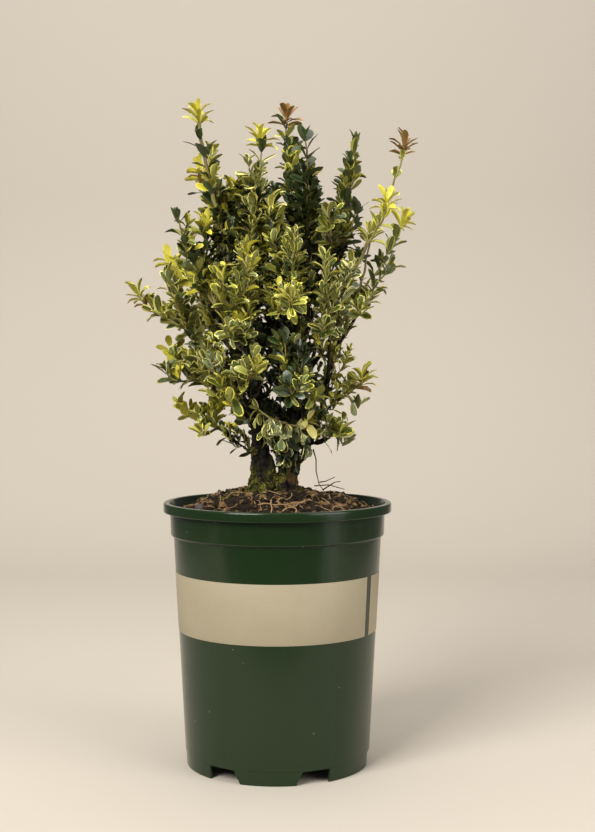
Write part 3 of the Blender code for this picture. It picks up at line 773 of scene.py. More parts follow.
# Each foliage mass: its stem, the height on it where the bough leaves (None: the mass grows on
# from the stem's tip), and the tips that it reaches for, with the room round each of them.
MASSES = {
    "left_leader": ("left", None, (
        (-11, -42, 456, 12), (-29, 26, 431, 14), (-7, -10, 402, 15), (-36, 22, 356, 17),
        (-26, -34, 350, 17),
    )),
    "tall_left": ("left", 294, ((-56, -28, 472, 11), (-59, 34, 443, 12), (-36, -2, 420, 14))),
    "upper_left": ("left", 280, ((-71, -30, 401, 13), (-84, 28, 376, 12), (-52, -8, 398, 15))),
    "far_left": ("left", 265, ((-105, 0, 349, 9), (-80, -26, 362, 12), (-76, 24, 338, 13))),
    "left": ("left", 246, ((-82, 17, 310, 11), (-85, -15, 292, 10), (-60, 2, 310, 15))),
    "low_left": ("left", 222, ((-75, 10, 268, 10), (-60, -12, 248, 10), (-46, 10, 270, 15))),
    "front_left": ("left", 270, ((-42, -58, 358, 18), (-34, -76, 317, 18), (-20, -60, 376, 18))),
    "front_low_left": (
        "left", 250, ((-38, -58, 272, 18), (-13, -78, 298, 18), (-54, -42, 300, 16)),
    ),
    "back_left": ("left", 256, ((-46, 60, 386, 18), (-60, 70, 338, 18), (-66, 44, 360, 15))),
    "back_low_left": ("left", 239, ((-46, 62, 286, 18), (-60, 36, 300, 16))),
    "foot_back": ("left", 232, ((8, 42, 252, 14), (-26, 38, 262, 14), (32, 34, 256, 14))),
    "right_leader": ("right", None, (
        (6, 36, 483, 12), (20, -38, 458, 12), (20, 8, 416, 17), (10, 38, 362, 18),
        (6, -32, 352, 18),
    )),
    "right_top": ("right", 300, ((59, 38, 463, 12), (36, -44, 404, 15), (60, -8, 408, 14))),
    "red_right": ("right", 286, ((91, -22, 454, 8), (78, -38, 412, 10))),
    "right_reach": ("right", 274, ((96, 40, 405, 9), (84, -8, 370, 10), (70, 24, 395, 13))),
    "back_right": ("right", 262, ((42, 60, 397, 18), (44, 72, 344, 18), (60, 44, 372, 15))),
    "back_centre": ("right", 296, ((-7, 54, 427, 17), (-4, 88, 354, 18), (22, 46, 412, 16))),
    "front_centre": ("right", 280, ((-5, -30, 409, 16), (10, -84, 341, 18), (12, -58, 384, 16))),
    "front_low_right": (
        "right", 254, ((8, -76, 281, 18), (30, -54, 274, 17), (4, -48, 314, 17)),
    ),
    "back_low": ("right", 247, ((2, 78, 286, 18), (35, 58, 280, 17), (-2, 54, 322, 17))),
    "foot_rosette": (
        "right", 233, ((2, -44, 247, 14), (24, -40, 258, 14), (-16, -44, 266, 14)),
    ),
    "slim_leader": ("slim", None, ((45, 4, 372, 16), (40, 36, 345, 16))),
    "right": ("slim", 299, ((72, 12, 353, 10), (60, -18, 336, 9))),
    "front_right": ("slim", 274, ((32, -56, 370, 18), (29, -64, 322, 17), (52, -38, 362, 15))),
    "low_right": ("slim", 252, ((64, -12, 290, 11), (65, 14, 267, 11), (46, -8, 280, 14))),
    "lowest_right": ("slim", 230, ((54, 0, 240, 9), (46, -22, 250, 11))),
}
MASS_STEM = 0.0045
BOUGH_RADIUS = 0.0021
BOUGH_TIP_RADIUS = 0.0012
BOUGH_STEM_SHARE = 0.75
FORK_SHARE = 0.5
BOUGH_RISE = 0.33
BOUGH_POINTS = 4


def bezier(points, share):
    while len(points) > 1:
        points = [a.lerp(b, share) for a, b in zip(points, points[1:])]
    return points[0]


def curve_points(controls, count, end=1.0):
    return [bezier(controls, end * i / (count - 1)) for i in range(count)]


def tapered(foot, tip, points):
    last = len(points) - 1
    return [foot + (tip - foot) * i / last for i in range(len(points))]


def metres(point):
    return Vector(point) * 0.001


def stem_path(name):
    controls, foot, tip = STEMS[name]
    points = [metres(point) for point in controls]
    shares = [i / (len(points) - 1) for i in range(len(points))]
    return points, [(foot + (tip - foot) * share**STEM_TAPER) * 0.001 for share in shares]


def point_at_height(points, height):
    low, high = next((a, b) for a, b in zip(points, points[1:]) if a.z <= height <= b.z)
    return low.lerp(high, (height - low.z) / (high.z - low.z))


limbs, boughs, mass_foot = [], {}, {}
for name in STEMS:
    points, radii = stem_path(name)
    if name != "slim":
        up = (points[1] - points[0]).normalized()
        points[0] = points[0] + up * ((FORK_HEIGHT - points[0].z) / up.z + GAP)
    limbs.append((points, radii))
for name, (stem, height, tips) in MASSES.items():
    points, radii = stem_path(stem)
    if height is None:
        heading = (points[-1] - points[-2]).normalized()
        mass_foot[name] = (points[-1] + heading * GAP, heading)
        continue
    targets = [metres(tip[:3]) for tip in tips]
    base = point_at_height(points, height * 0.001)
    middle = sum(targets, Vector()) / len(targets)
    control = base.lerp(middle, 0.5)
    control.z = base.z + BOUGH_RISE * (middle.z - base.z)
    path = curve_points((base, control, middle), BOUGH_POINTS, FORK_SHARE)
    heading = (path[-1] - path[-2]).normalized()
    thickest = BOUGH_STEM_SHARE * float(np.interp(base.z, [point.z for point in points], radii))
    boughs[name] = (path, tapered(min(BOUGH_RADIUS, thickest), BOUGH_TIP_RADIUS, path))
    mass_foot[name] = (path[-1] + heading * GAP, heading)

# An old shoot, cut back long ago, fills the fork beside the left stem.
CUT_SHOOT = ((-5, -3, 188), (-7, -4, 205), (-9, -5, 220), (-11, -5, 236))
CUT_SHOOT_RADII = (0.0085, 0.0070, 0.0052, 0.0034)
wood_paths = []
for name in STEMS:
    points, radii = stem_path(name)
    up = (points[1] - points[0]).normalized()
    if name != "slim":
        foot = [points[0] - up * below for below, _ in STEM_FEET]
        flare = [radii[0] * times for _, times in STEM_FEET]
        points, radii = [*foot, *points], [*flare, radii[0] * STEM_COLLAR, *radii[1:]]
    points.append(points[-1] + up * MASS_STEM)
    radii.append(radii[-1] * STEM_END)
    wood_paths.append((points, radii, 0.0))
wood_paths.append(([metres(point) for point in CUT_SHOOT], CUT_SHOOT_RADII, 0.0))
for number, degrees in enumerate(FLARE_ANGLES):
    turn = math.radians(degrees)
    out = Vector((math.cos(turn), FLARE_OVAL * math.sin(turn), 0))
    start = FLARE_CROWN + out * FLARE_REACH * 0.3 + Vector((0, 0, 0.008))
    end = FLARE_CROWN + out * (FLARE_REACH + 0.002 * (number % 3)) - Vector((0, 0, 0.003))
    bend = start.lerp(end, 0.5) + Vector((0, 0, 0.0012))
    wood_paths.append(((start, bend, end), FLARE_RADII, 0.0))
for path, radii in boughs.values():
    ahead = (path[-1] - path[-2]).normalized()
    wood_paths.append(([*path, path[-1] + ahead * MASS_STEM], [*radii, BOUGH_TIP_RADIUS], 0.0))
bark = Finish("box_bark", BARK_BROWN, roughness=0.9, specular=0.25)
here = bark.place()
height = bark.add("ShaderNodeSeparateXYZ", {}, {0: here}, out="Z")
side = bark.add("ShaderNodeSeparateXYZ", {}, {0: here}, out="X")
plates = bark.noise(bark.place((1, 1, 0.3)), scale=420, detail=5)
patches = bark.noise(here, scale=55, detail=3)
young = height.over(0.285, 0.06)
base = bark.blend(plates.over(0.50, 0.28), BARK_DARK, BARK_BROWN)
base = bark.blend(young * plates.over(0.46, 0.3), base, BARK_KHAKI)
rusty = side.over(0.004, 0.006) * height.under(0.214, 0.014) * patches.over(0.47, 0.1)
base = bark.blend(rusty, base, RUST_STREAK)
mossy = height.under(0.232, 0.03) * patches.over(0.47, 0.12) * plates.over(0.42, 0.2)
bark.colour(bark.blend(mossy, base, MOSS_GREEN))
bark.rough(0.8 + plates * 0.2)
bark.bump(plates, depth=0.0009)

wood = along_paths("trunk_and_boughs", wood_paths, WOOD_SIDES, bark.material)
fused = wood.modifiers.new("Fuse", "REMESH")
fused.mode = "VOXEL"
fused.voxel_size = BARK_VOXEL
settled(wood)
shape = bmesh.new()
shape.from_mesh(wood.data)
bmesh.ops.smooth_vert(
    shape, verts=shape.verts, factor=0.5, use_axis_x=True, use_axis_y=True, use_axis_z=True,
)
for vert in shape.verts:
    vert.normal_update()
stem_points = [point for points, _ in limbs for point in points]
for vert in shape.verts:
    at = vert.co
    thick = min(1.0, max(BOUGH_RELIEF, 1.1 - (at.z - SOIL_TOP) / BARK_THINS_OVER))
    if min((at - point).length for point in stem_points) > STEM_NEAR:
        thick = BOUGH_RELIEF
    cracks = abs(noise.noise(Vector((at.x * 320, at.y * 320, at.z * 110))))
    lumps = noise.noise(at * 170) + 0.6 * noise.noise(at * 420)
    vert.co = at + vert.normal * BARK_RELIEF * thick * (1.1 * cracks + 0.8 * lumps - 0.30)
shape.to_mesh(wood.data)
shape.free()
wood.data.shade_smooth()

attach(wood, "root")
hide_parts("trunk", *(f"stem_{name}" for name in STEMS))
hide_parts(*(f"bough_{name}" for name in boughs))


# ---- Moss -------------------------------------------------------------------------------------
# Bright cushions of moss cling to the foot of the stems, thickest on the left one and in the
# fork, and creep on to the soil beside it: thousands of short blades that grow close.

MOSS_DENSITY = 2600000.0
MOSS_BLADE = (0.0008, 0.0022)
MOSS_LEANS = (0.15, 0.45, 0.8)
OLD_MOSS_SHARE = 0.3
MOSS_BRIGHT = (0.30, 0.270, 0.030)
MOSS_DEEP = (0.060, 0.062, 0.010)
# Cushions on the wood: the middle of each and how far it reaches.
MOSS_CUSHIONS = (
    ((-0.026, -0.008, 0.197), 0.0120), ((-0.017, -0.012, 0.200), 0.0085),
    ((-0.002, -0.006, 0.206), 0.0085), ((-0.020, -0.006, 0.211), 0.0050),
    ((0.018, -0.006, 0.200), 0.0045), ((-0.018, -0.008, 0.226), 0.0035),
    ((-0.010, 0.010, 0.203), 0.0100), ((0.012, 0.010, 0.205), 0.0070),
    ((-0.037, -0.014, 0.194), 0.0085), ((-0.046, -0.004, 0.193), 0.0050),
)

moss_bed = bmesh.new()
moss_bed.from_mesh(wood.data)
moss_bed.from_mesh(soil.data)
bare = [
    face for face in moss_bed.faces
    if not any((face.calc_center_median() - Vector(m)).length < r for m, r in MOSS_CUSHIONS)
]
bmesh.ops.delete(moss_bed, geom=bare, context="FACES")
moss = new_object("moss", mesh_of("moss", moss_bed))


def moss_blade(name, lean):
    blade = bpy.data.meshes.new(name)
    blade.from_pydata(
        [(0.16, 0, 0), (-0.08, 0.14, 0), (-0.08, -0.14, 0), (lean * 0.4, 0.05, 0.6)],
        [],
        [(0, 1, 3), (0, 3, 2), (1, 2, 3), (0, 2, 1)],
    )
    return blade


blade_box = boxed("moss_blades_box", [
    moss_blade(f"moss_blade_{number}", lean) for number, lean in enumerate(MOSS_LEANS)
])
moss_leaf = Finish("moss_leaf", MOSS_BRIGHT, roughness=0.75, specular=0.25)
shades = moss_leaf.noise(moss_leaf.place(), scale=150, detail=3)
moss_leaf.grained(shades, MOSS_DEEP, MOSS_BRIGHT, soft=0.3)
moss_old = Finish("moss_old", MOSS_DEEP, roughness=0.85, specular=0.2)
shades = moss_old.noise(moss_old.place(), scale=150, detail=3)
moss_old.grained(shades, BARK_BROWN, MOSS_DEEP, soft=0.3)
scatter.run(
    moss, Box=blade_box, Density=MOSS_DENSITY, Smallest=MOSS_BLADE[0], Largest=MOSS_BLADE[1],
    Steepest=-1.0, Seed=SEED, Surface=moss_leaf.material, Other=moss_old.material,
    Share=OLD_MOSS_SHARE,
)
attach(moss, "root")


# ---- Twigs and leaves -------------------------------------------------------------------------
# Growing wood and leaves. Each mass reaches leading shoots out to its tips; they bear crossed
# pairs of leaves and side twigs, and each leaf opens only where its own mass has room for it.

SHOOT_LEAD = 0.35
SHOOT_DRAW = 0.25
SHOOT_CLIMB = 0.2
SHOOT_TURN_UP = 1.1
SLENDER = 0.0125
SLENDER_INTERNODE = 0.0068
SLENDER_LEAF = 0.0142
SHOOT_POINTS = 13
SHOOT_RADII = (0.00120, 0.00060)
STOUT = (0.0019, 0.0012)
TWIG_RADII = (0.00055, 0.00035)
TWIG_GREEN = (0.32, 0.28, 0.085)
TWIG_BROWN = (0.16, 0.115, 0.050)
WANDER = 0.0022
WANDER_SHIFTS = ((9.3, -1.5, -7.9), (0, 0, 0), (6.3, 0.2, -2.7))
INTERNODE = 0.0078
TWIG_INTERNODE = 0.0064
TWIG_REACH = (0.45, 1.10)
SHORTEST_TWIG = 0.0045
TWIG_ANGLE = math.radians(46)
TWIG_RISE = 0.65
LIMB_ROOM = 0.016
LIMB_NODE = 0.0034
LIMB_TWIG = (0.007, 0.020)
INNER_RADIUS = 0.040
INNER_TOP = 0.415
LIMB_LEAF = 0.0108
LOWEST_SPRAY = 0.219
LEAF_ANGLE = math.radians(43)
LEAF_RISE = 0.30
LEAF_ROLL = math.radians(40)
LEAF_SIZE = (0.0106, 0.16)
LEAF_SPREAD = (0.80, 1.15)
LEAF_SPIRAL = 2.4
PAIR_WOBBLE = 0.22
PAIR_RISE = (0.3, 1.3)
TWIG_WOBBLE = 0.2
TURN_WOBBLE = 0.25
TWIG_OUT = 0.66
TWIG_ONWARD = 0.12
LAST_PAIRS = 0.013
FORKED_TWIG = 0.007
# A leaf that has no room is tried again: the share of its length, and how far it closes.
LEAF_TRIES = ((1.0, 0.0), (0.85, 0.35), (0.68, 0.0), (0.62, 0.6))
LONGEST_LEAF = 0.027
SHORTEST_LEAF = 0.015
BARE_SHARE = 0.10
FURTHEST_SHARE = 1.25
SPACE_MARGIN = -0.0018
LIMB_MARGIN = 0.0004

# Blades one unit long. Stations along a blade: how far along, and the share of its full width.
STATIONS = ((0.10, 0.30), (0.35, 0.80), (0.67, 1.00), (0.91, 0.62))
HALF_WIDTH = 0.275
THICKNESS = 0.016
# Each shape: bend along the blade, fold about the midrib, twist, how wide its margin runs and
# how wide the blade is.
BLADES = (
    (0.35, 0.35, 0.05, 0.28, 0.96), (0.85, 0.50, -0.25, 0.34, 0.82),
    (-0.35, 0.40, 0.30, 0.28, 0.88), (0.55, -0.25, 0.45, 0.40, 0.86),
    (1.25, 0.70, 0.15, 0.36, 0.72), (0.20, 0.95, -0.50, 0.44, 0.76),
    (0.40, 0.10, 0.00, 0.24, 1.04), (0.90, -0.10, -0.65, 0.46, 0.78),
    (0.60, 0.60, 0.15, 0.38, 0.62), (1.20, 0.80, -0.35, 0.42, 0.55),
)
YOUNG_BLADES = 2
# The zones of a blade, and how rough each is.
MIDDLE, MARGIN, UNDERSIDE = range(3)
ZONES = (("middle", 0.31), ("margin", 0.31), ("underside", 0.60))
ACROSS = (-1, -0.5, 0, 0.5, 1)
MARGIN_SPREAD = (0.65, 1.35)
WAVE = 0.012
BLADE_EDGE = math.radians(75)

# Colours of a spray's leaves: middle of the blade, its margin and its underside.
TINTS = {
    # shade is painted shade: leaves darkened to stand for the shadow deep inside the crown.
    "shade": ((0.010, 0.014, 0.003), (0.017, 0.022, 0.005), (0.022, 0.028, 0.008)),
    "dark": ((0.022, 0.040, 0.008), (0.055, 0.080, 0.015), (0.060, 0.080, 0.026)),
    "deep": ((0.038, 0.062, 0.010), (0.400, 0.375, 0.060), (0.115, 0.130, 0.032)),
    "olive": ((0.105, 0.110, 0.014), (0.520, 0.440, 0.058), (0.180, 0.172, 0.034)),
    "green_cream": ((0.066, 0.098, 0.016), (0.920, 0.830, 0.230), (0.245, 0.250, 0.066)),
    "blue_cream": ((0.100, 0.140, 0.055), (0.900, 0.830, 0.340), (0.260, 0.275, 0.125)),
    "green_yellow": ((0.110, 0.148, 0.020), (0.920, 0.820, 0.130), (0.275, 0.275, 0.050)),
    "light": ((0.300, 0.320, 0.045), (0.920, 0.840, 0.160), (0.420, 0.405, 0.078)),
    "lime": ((0.600, 0.545, 0.035), (0.800, 0.720, 0.065), (0.600, 0.550, 0.075)),
    "bronze": ((0.230, 0.115, 0.030), (0.420, 0.235, 0.050), (0.260, 0.155, 0.045)),
    "cream": ((0.580, 0.510, 0.145), (0.900, 0.810, 0.300), (0.520, 0.475, 0.150)),
}

# How many sprays in ten take each tint, by the look of a mass.
LOOKS = {
    "plain": {"dark": 5, "deep": 3, "olive": 1, "green_yellow": 1},
    "mixed": {"deep": 2, "dark": 2, "green_yellow": 2, "light": 2, "green_cream": 1, "lime": 1},
    "bright": {"green_cream": 4, "green_yellow": 2, "light": 2, "deep": 1, "lime": 1},
    "edged": {"green_cream": 4, "green_yellow": 2, "light": 2, "blue_cream": 1, "deep": 1},
    "glaucous": {"blue_cream": 5, "green_cream": 4, "cream": 1},
    # shaded: mostly the painted shade tint, for sprays deep inside the crown.
    "shaded": {"shade": 6, "dark": 3, "green_cream": 1},
}
# The look of each mass, edged where none is given; the low masses at the back and foot take the
# shaded look, painted shade.
LOOK_OF = {
    "right_leader": "plain", "right_top": "plain", "upper_left": "mixed", "tall_left": "mixed",
    "left_leader": "bright", "red_right": "mixed", "right_reach": "mixed", "far_left": "bright",
    "back_centre": "plain", "back_right": "mixed", "back_left": "bright", "back_low": "shaded",
    "back_low_left": "shaded", "foot_back": "shaded", "foot_rosette": "glaucous",
    "front_centre": "bright", "low_left": "bright", "left": "bright", "front_low_right": "mixed",
    "front_left": "bright",
}
# Masses open enough for their inner sprays to be seen, and the look of those sprays. The inner
# sprays of every other mass take the shaded look, painted shade.
INNER_LOOK_OF = {
    "low_right": "edged", "lowest_right": "edged", "right": "edged", "slim_leader": "mixed",
    "front_right": "mixed", "low_left": "mixed", "left": "mixed", "far_left": "mixed",
}
# Young tips that fan out many small leaves, by mass and number of the tip: the colour of the
# fan, and that of the last pairs below it.
YOUNG_TIPS = {
    ("tall_left", 0): ("lime", "bronze"), ("left_leader", 0): ("lime", "dark"),
    ("left_leader", 1): ("lime", "light"), ("left_leader", 2): ("bronze", "light"),
    ("right_reach", 0): ("lime", "olive"), ("red_right", 0): ("bronze", "light"),
    ("red_right", 1): ("lime", "light"), ("upper_left", 2): ("lime", "olive"),
    ("tall_left", 1): ("lime", "bronze"), ("tall_left", 2): ("light", "bronze"),
    ("front_centre", 0): ("light", "green_yellow"), ("right_leader", 0): ("bronze", "dark"),
    ("far_left", 0): ("light", "bronze"), ("low_right", 0): ("light", "bronze"),
}
FAN_LEAVES = 14
FAN_LEAF = 0.0145
FAN_LEAN = (0.12, 0.09)  # of the innermost leaf, and added for each leaf further out
# Masses that bear fewer side twigs, and the share that they lack.
THINNED = {
    "tall_left": 0.45, "foot_rosette": 0.15,
    "slim_leader": 0.5, "right": 0.65, "right_reach": 0.9, "front_right": 0.6,
    "back_right": 0.9, "red_right": 0.85, "front_low_right": 0.5, "front_low_left": 0.35,
    "low_right": 0.4, "low_left": 0.3, "left": 0.35, "back_left": 0.3, "upper_left": 0.2,
    "far_left": 0.2, "right_top": 0.3,
}
# The share of narrow, arching leaves in some masses, and in the others.
NARROW = {"front_centre": 0.45, "front_left": 0.4, "front_right": 0.4, "right_reach": 0.3}
NARROW_ELSEWHERE = 0.15
# The rosette at the foot hangs down in front of the stems: how its twigs rise.
RISES = {"foot_rosette": -1.0}
# How far past its own room a mass may open leaves, where no other mass is nearer.
REACHES = {
    "foot_rosette": 2.2, "back_centre": 2.0, "back_low": 2.0, "back_low_left": 1.7,
    "back_left": 1.6, "left_leader": 1.7, "front_centre": 1.6, "front_left": 1.6,
    "right_leader": 1.7,
}
# Masses with longer side twigs, which close the crown's middle.
SPREADS = {"left_leader": 1.4, "right_leader": 1.4, "back_centre": 1.35, "back_low": 1.4}


class Shoot:
    """A leading shoot: its centre line, its tip and the room round it."""

    def __init__(self, mass, number, foot, heading, tip, room):
        self.mass = mass
        self.number = number
        self.room = room
        self.tip = tip
        start = foot + heading * MASS_STEM / 2
        reach = tip - start
        longest = min(LONGEST_LEAF, reach.length * 0.6)
        leaf = min(max(room * 1.5, SHORTEST_LEAF), longest)
        climb = (reach.normalized() + Vector((0, 0, SHOOT_CLIMB))).normalized()
        end = tip - climb * leaf * 0.9
        lead = start + heading * reach.length * SHOOT_LEAD
        draw = end - climb * reach.length * SHOOT_DRAW
        self.spine = curve_points((start, lead, draw, end), 4)
        climb = (reach.normalized() + Vector((0, 0, SHOOT_TURN_UP))).normalized()
        self.leaf = SLENDER_LEAF if room < SLENDER else LEAF_SIZE[0] + LEAF_SIZE[1] * room
        end = tip - climb * self.leaf * 0.8
        draw = end - climb * reach.length * SHOOT_DRAW
        self.points = curve_points((start, lead, draw, end), SHOOT_POINTS)


def wander(point, number):
    """How far a point of a shoot strays from the plain curve, the same on every run."""
    at = point * 90 + Vector((0, 0, number))
    return Vector([noise.noise(at + Vector(shift)) for shift in WANDER_SHIFTS]) * WANDER


def distances(points, starts, ends):
    """Distance from each point to each segment, as a grid of points by segments."""
    along = ends - starts
    offset = points[:, None, :] - starts[None]
    share = (offset * along).sum(2) / np.maximum((along * along).sum(1), 1e-12)
    nearest = starts + np.clip(share, 0, 1)[..., None] * along
    return np.linalg.norm(points[:, None, :] - nearest, axis=2)


class Spaces:
    """Which space a point lies in: that of the shoot nearest to it for the room it has."""

    def __init__(self, shoots, feeders, limbs):
        runs = [([*s.spine, s.tip], s.room, s.mass) for s in shoots]
        runs += [(path, LIMB_ROOM, mass) for mass, path in feeders.items()]
        pairs = [(a, b, room, mass) for run, room, mass in runs for a, b in zip(run, run[1:])]
        self.starts = np.array([pair[0] for pair in pairs])
        self.ends = np.array([pair[1] for pair in pairs])
        self.rooms = np.array([pair[2] for pair in pairs])
        self.masses = np.array([pair[3] for pair in pairs])
        segments = [
            (a, b, max(r, s))
            for points, radii in limbs
            for a, b, r, s in zip(points, points[1:], radii, radii[1:])
        ]
        self.limb_starts = np.array([segment[0] for segment in segments])
        self.limb_ends = np.array([segment[1] for segment in segments])
        self.limb_radii = np.array([segment[2] for segment in segments])

    def hold(self, mass, points):
        """Whether all the points lie in the mass's own space and clear of every limb."""
        points = np.array(points)
        filled = distances(points, self.starts, self.ends) / self.rooms
        own = filled[:, self.masses == mass].min(1)
        others = filled[:, self.masses != mass]
        room = self.rooms[self.masses != mass][others.argmin(1)]
        apart = (others.min(1) - own) * room > SPACE_MARGIN
        if not (apart.all() and (own < REACHES.get(mass, FURTHEST_SHARE)).all()):
            return False
        gaps = distances(points, self.limb_starts, self.limb_ends) - self.limb_radii
        return bool((gaps > LIMB_MARGIN).all())


class Crown:
    """The twigs and leaves of one mass as they grow, each spray of them in one tint."""

    def __init__(self, mass, spaces):
        self.mass = mass
        self.spaces = spaces
        self.dice = random.Random(f"{SEED} {mass}")
        self.twigs = []
        self.leaves = []

    def tint(self, look=None):
        names, weights = zip(*LOOKS[look or LOOK_OF.get(self.mass, "edged")].items())
        return self.dice.choices(names, weights)[0]

    # Inner sprays take the painted shade look unless their mass is an open one.
    def inner_tint(self):
        return self.tint(INNER_LOOK_OF.get(self.mass, "shaded"))

    def leaf(self, root, along, facing, length, tint, young=False):
        """Opens a leaf, smaller or nearer to its twig if need be, where it has room."""
        length *= self.dice.uniform(*LEAF_SPREAD)
        for share, closed in LEAF_TRIES:
            out = along.lerp(facing.normalized(), closed).normalized()
            size = length * share
            if self.spaces.hold(self.mass, [root + out * size * 0.55, root + out * size]):
                break
        else:
            return
        across = out.cross(facing).normalized()
        roll = Matrix.Rotation(self.dice.uniform(-LEAF_ROLL, LEAF_ROLL), 3, out)
        across = roll @ across
        turn = Matrix((across, out, across.cross(out))).transposed().to_euler()
        grown_shapes = len(BLADES) - YOUNG_BLADES
        shape = self.dice.randrange(grown_shapes)
        if young or self.dice.random() < NARROW.get(self.mass, NARROW_ELSEWHERE):
            shape = grown_shapes + shape % YOUNG_BLADES
        self.leaves.append((tuple(root), tuple(turn), size, shape, tint))

    def pair(self, root, along, side, length, angle, tint):
        for way in (side, -side):
            lean = angle + self.dice.uniform(-PAIR_WOBBLE, PAIR_WOBBLE)
            out = along * math.cos(lean) + way * math.sin(lean)
            out.z += min(LEAF_RISE, RISES.get(self.mass, 1)) * self.dice.uniform(*PAIR_RISE)
            self.leaf(root, out.normalized(), along + Vector((0, 0, 0.4)), length, tint)

    def tuft(self, root, along, side, length, tint):
        """The youngest leaves at a tip: two crossed pairs, half open, round one straight on."""
        along = (along + Vector((0, 0, 0.5))).normalized()
        across = along.cross(side).normalized()
        self.pair(root - along * length * 0.22, along, across, length, 0.70, tint)
        self.pair(root, along, side, length * 0.85, 0.40, tint)
        self.leaf(root, (along + side * 0.15).normalized(), across, length * 0.70, tint)

    def fan(self, root, along, side, tint):
        """A young tip: many small leaves all round it, the last ones spread the widest."""
        for number in range(FAN_LEAVES):
            way = Matrix.Rotation(number * LEAF_SPIRAL, 3, along) @ side
            lean = FAN_LEAN[0] + FAN_LEAN[1] * number
            out = along * math.cos(lean) + way * math.sin(lean)
            spot = root - along * 0.0005 * number
            self.leaf(spot, out.normalized(), along + way * 0.2, FAN_LEAF, tint, young=True)

    def side_twig(self, root, way, along, length, leaf, tint, forks=1):
        """A side twig that leaves at a slant and turns upwards, with its own pairs and tuft."""
        while True:
            rise = Vector((0, 0, length * RISES.get(self.mass, TWIG_RISE)))
            end = root + way * length * TWIG_OUT + along * length * TWIG_ONWARD + rise
            path = curve_points((root, root + way * length * 0.5, end), 5)
            if self.spaces.hold(self.mass, [path[2], path[4]]):
                break
            length *= 0.75
            if length < SHORTEST_TWIG:
                return
        self.twigs.append((path, tapered(*TWIG_RADII, path), 1.0))
        side = (path[-1] - path[-2]).orthogonal().normalized()
        turn = self.dice.uniform(0, math.pi)
        nodes = int(length / TWIG_INTERNODE)
        for number in range(nodes):
            share = (number + 0.7) / (nodes + 0.5)
            low, high = path[min(int(share * 4), 3)], path[min(int(share * 4), 3) + 1]
            heading = (high - low).normalized()
            spot = low.lerp(high, share * 4 % 1)
            across = Matrix.Rotation(turn, 3, heading) @ heading.cross(side).normalized()
            self.pair(spot, heading, across, leaf * 0.9, LEAF_ANGLE, tint)
            turn += math.pi / 2
        heading = (path[-1] - path[-2]).normalized()
        side = Matrix.Rotation(turn, 3, heading) @ side
        self.tuft(path[-1], heading, side, leaf * 0.80, tint)
        inside = math.hypot(root.x, root.y) < INNER_RADIUS and root.z < INNER_TOP
        if forks and inside and length > FORKED_TWIG:
            for number, spot in enumerate((path[1], path[2])):
                lean = Matrix.Rotation(turn + math.pi * number, 3, heading) @ side
                away = (heading + lean * 1.1).normalized()
                # Forks inside the crown take the inner sprays' tints, mostly painted shade.
                deep = self.inner_tint()
                self.side_twig(spot, away, heading, length * 0.75, leaf * 0.92, deep, forks - 1)

    def limb(self, path):
        """Short leafy twigs all along the bough that feeds the mass, in the tints of its inner
        sprays: mostly painted shade.
        """
        turn = self.dice.uniform(0, 6)
        for start, end in zip(path, path[1:]):
            along = (end - start).normalized()
            across = along.orthogonal().normalized()
            count = max(1, round((end - start).length / LIMB_NODE))
            for i in range(count):
                root = start.lerp(end, (i + self.dice.uniform(0.2, 0.8)) / count)
                turn += LEAF_SPIRAL
                if root.z < LOWEST_SPRAY or self.dice.random() < THINNED.get(self.mass, 0.0):
                    continue
                out = Matrix.Rotation(turn, 3, along) @ across
                out = (out + along * 0.35).normalized()
                length = self.dice.uniform(*LIMB_TWIG)
                self.side_twig(root, out, along, length, LIMB_LEAF, self.inner_tint())

    def shoot(self, shoot):
        """A leading shoot from its foot to its tip, bare at first and leafier as it goes."""
        path = [point + wander(point, shoot.number) for point in shoot.points]
        path[0] = shoot.points[0]
        girth = STOUT if (self.mass, shoot.number) == ("tall_left", 0) else SHOOT_RADII
        self.twigs.append((path, tapered(*girth, path), 0.0))
        spans = [(b - a).length for a, b in zip(path, path[1:])]
        total = sum(spans)
        turn = self.dice.uniform(0, math.pi)
        own = self.tint()
        young, below = YOUNG_TIPS.get((self.mass, shoot.number), (None, own))
        slender = shoot.room < SLENDER
        sparse = THINNED.get(self.mass, 0.0)
        internode = SLENDER_INTERNODE if slender else INTERNODE
        done, node = 0.0, internode * 0.6
        for start, end, span in zip(path, path[1:], spans):
            along = (end - start).normalized()
            across = along.orthogonal().normalized()
            while node < min(done + span, total - internode * 0.6):
                share = node / total
                root = start + along * (node - done)
                side = Matrix.Rotation(turn, 3, along) @ across
                if share > BARE_SHARE and self.dice.random() > sparse * 0.5:
                    late = node > total - LAST_PAIRS
                    self.pair(root, along, side, shoot.leaf, LEAF_ANGLE, below if late else own)
                for way in (side, -side):
                    reach = shoot.room * self.dice.uniform(*TWIG_REACH) * min(1.0, 1.35 - share)
                    reach *= SPREADS.get(self.mass, 1.0)
                    missing = self.dice.random() < sparse
                    if reach < SHORTEST_TWIG or missing or (slender and share > 0.8):
                        continue
                    lean = TWIG_ANGLE + self.dice.uniform(-TWIG_WOBBLE, TWIG_WOBBLE)
                    out = (along * math.cos(lean) + way * math.sin(lean)).normalized()
                    self.side_twig(root, out, along, reach, shoot.leaf, self.tint())
                turn += math.pi / 2 + self.dice.uniform(-TURN_WOBBLE, TURN_WOBBLE)
                node += internode
            done += span
        side = Matrix.Rotation(turn, 3, along) @ across
        if young:
            self.fan(path[-1], along, side, young)
        else:
            self.tuft(path[-1], along, side, shoot.leaf, own)


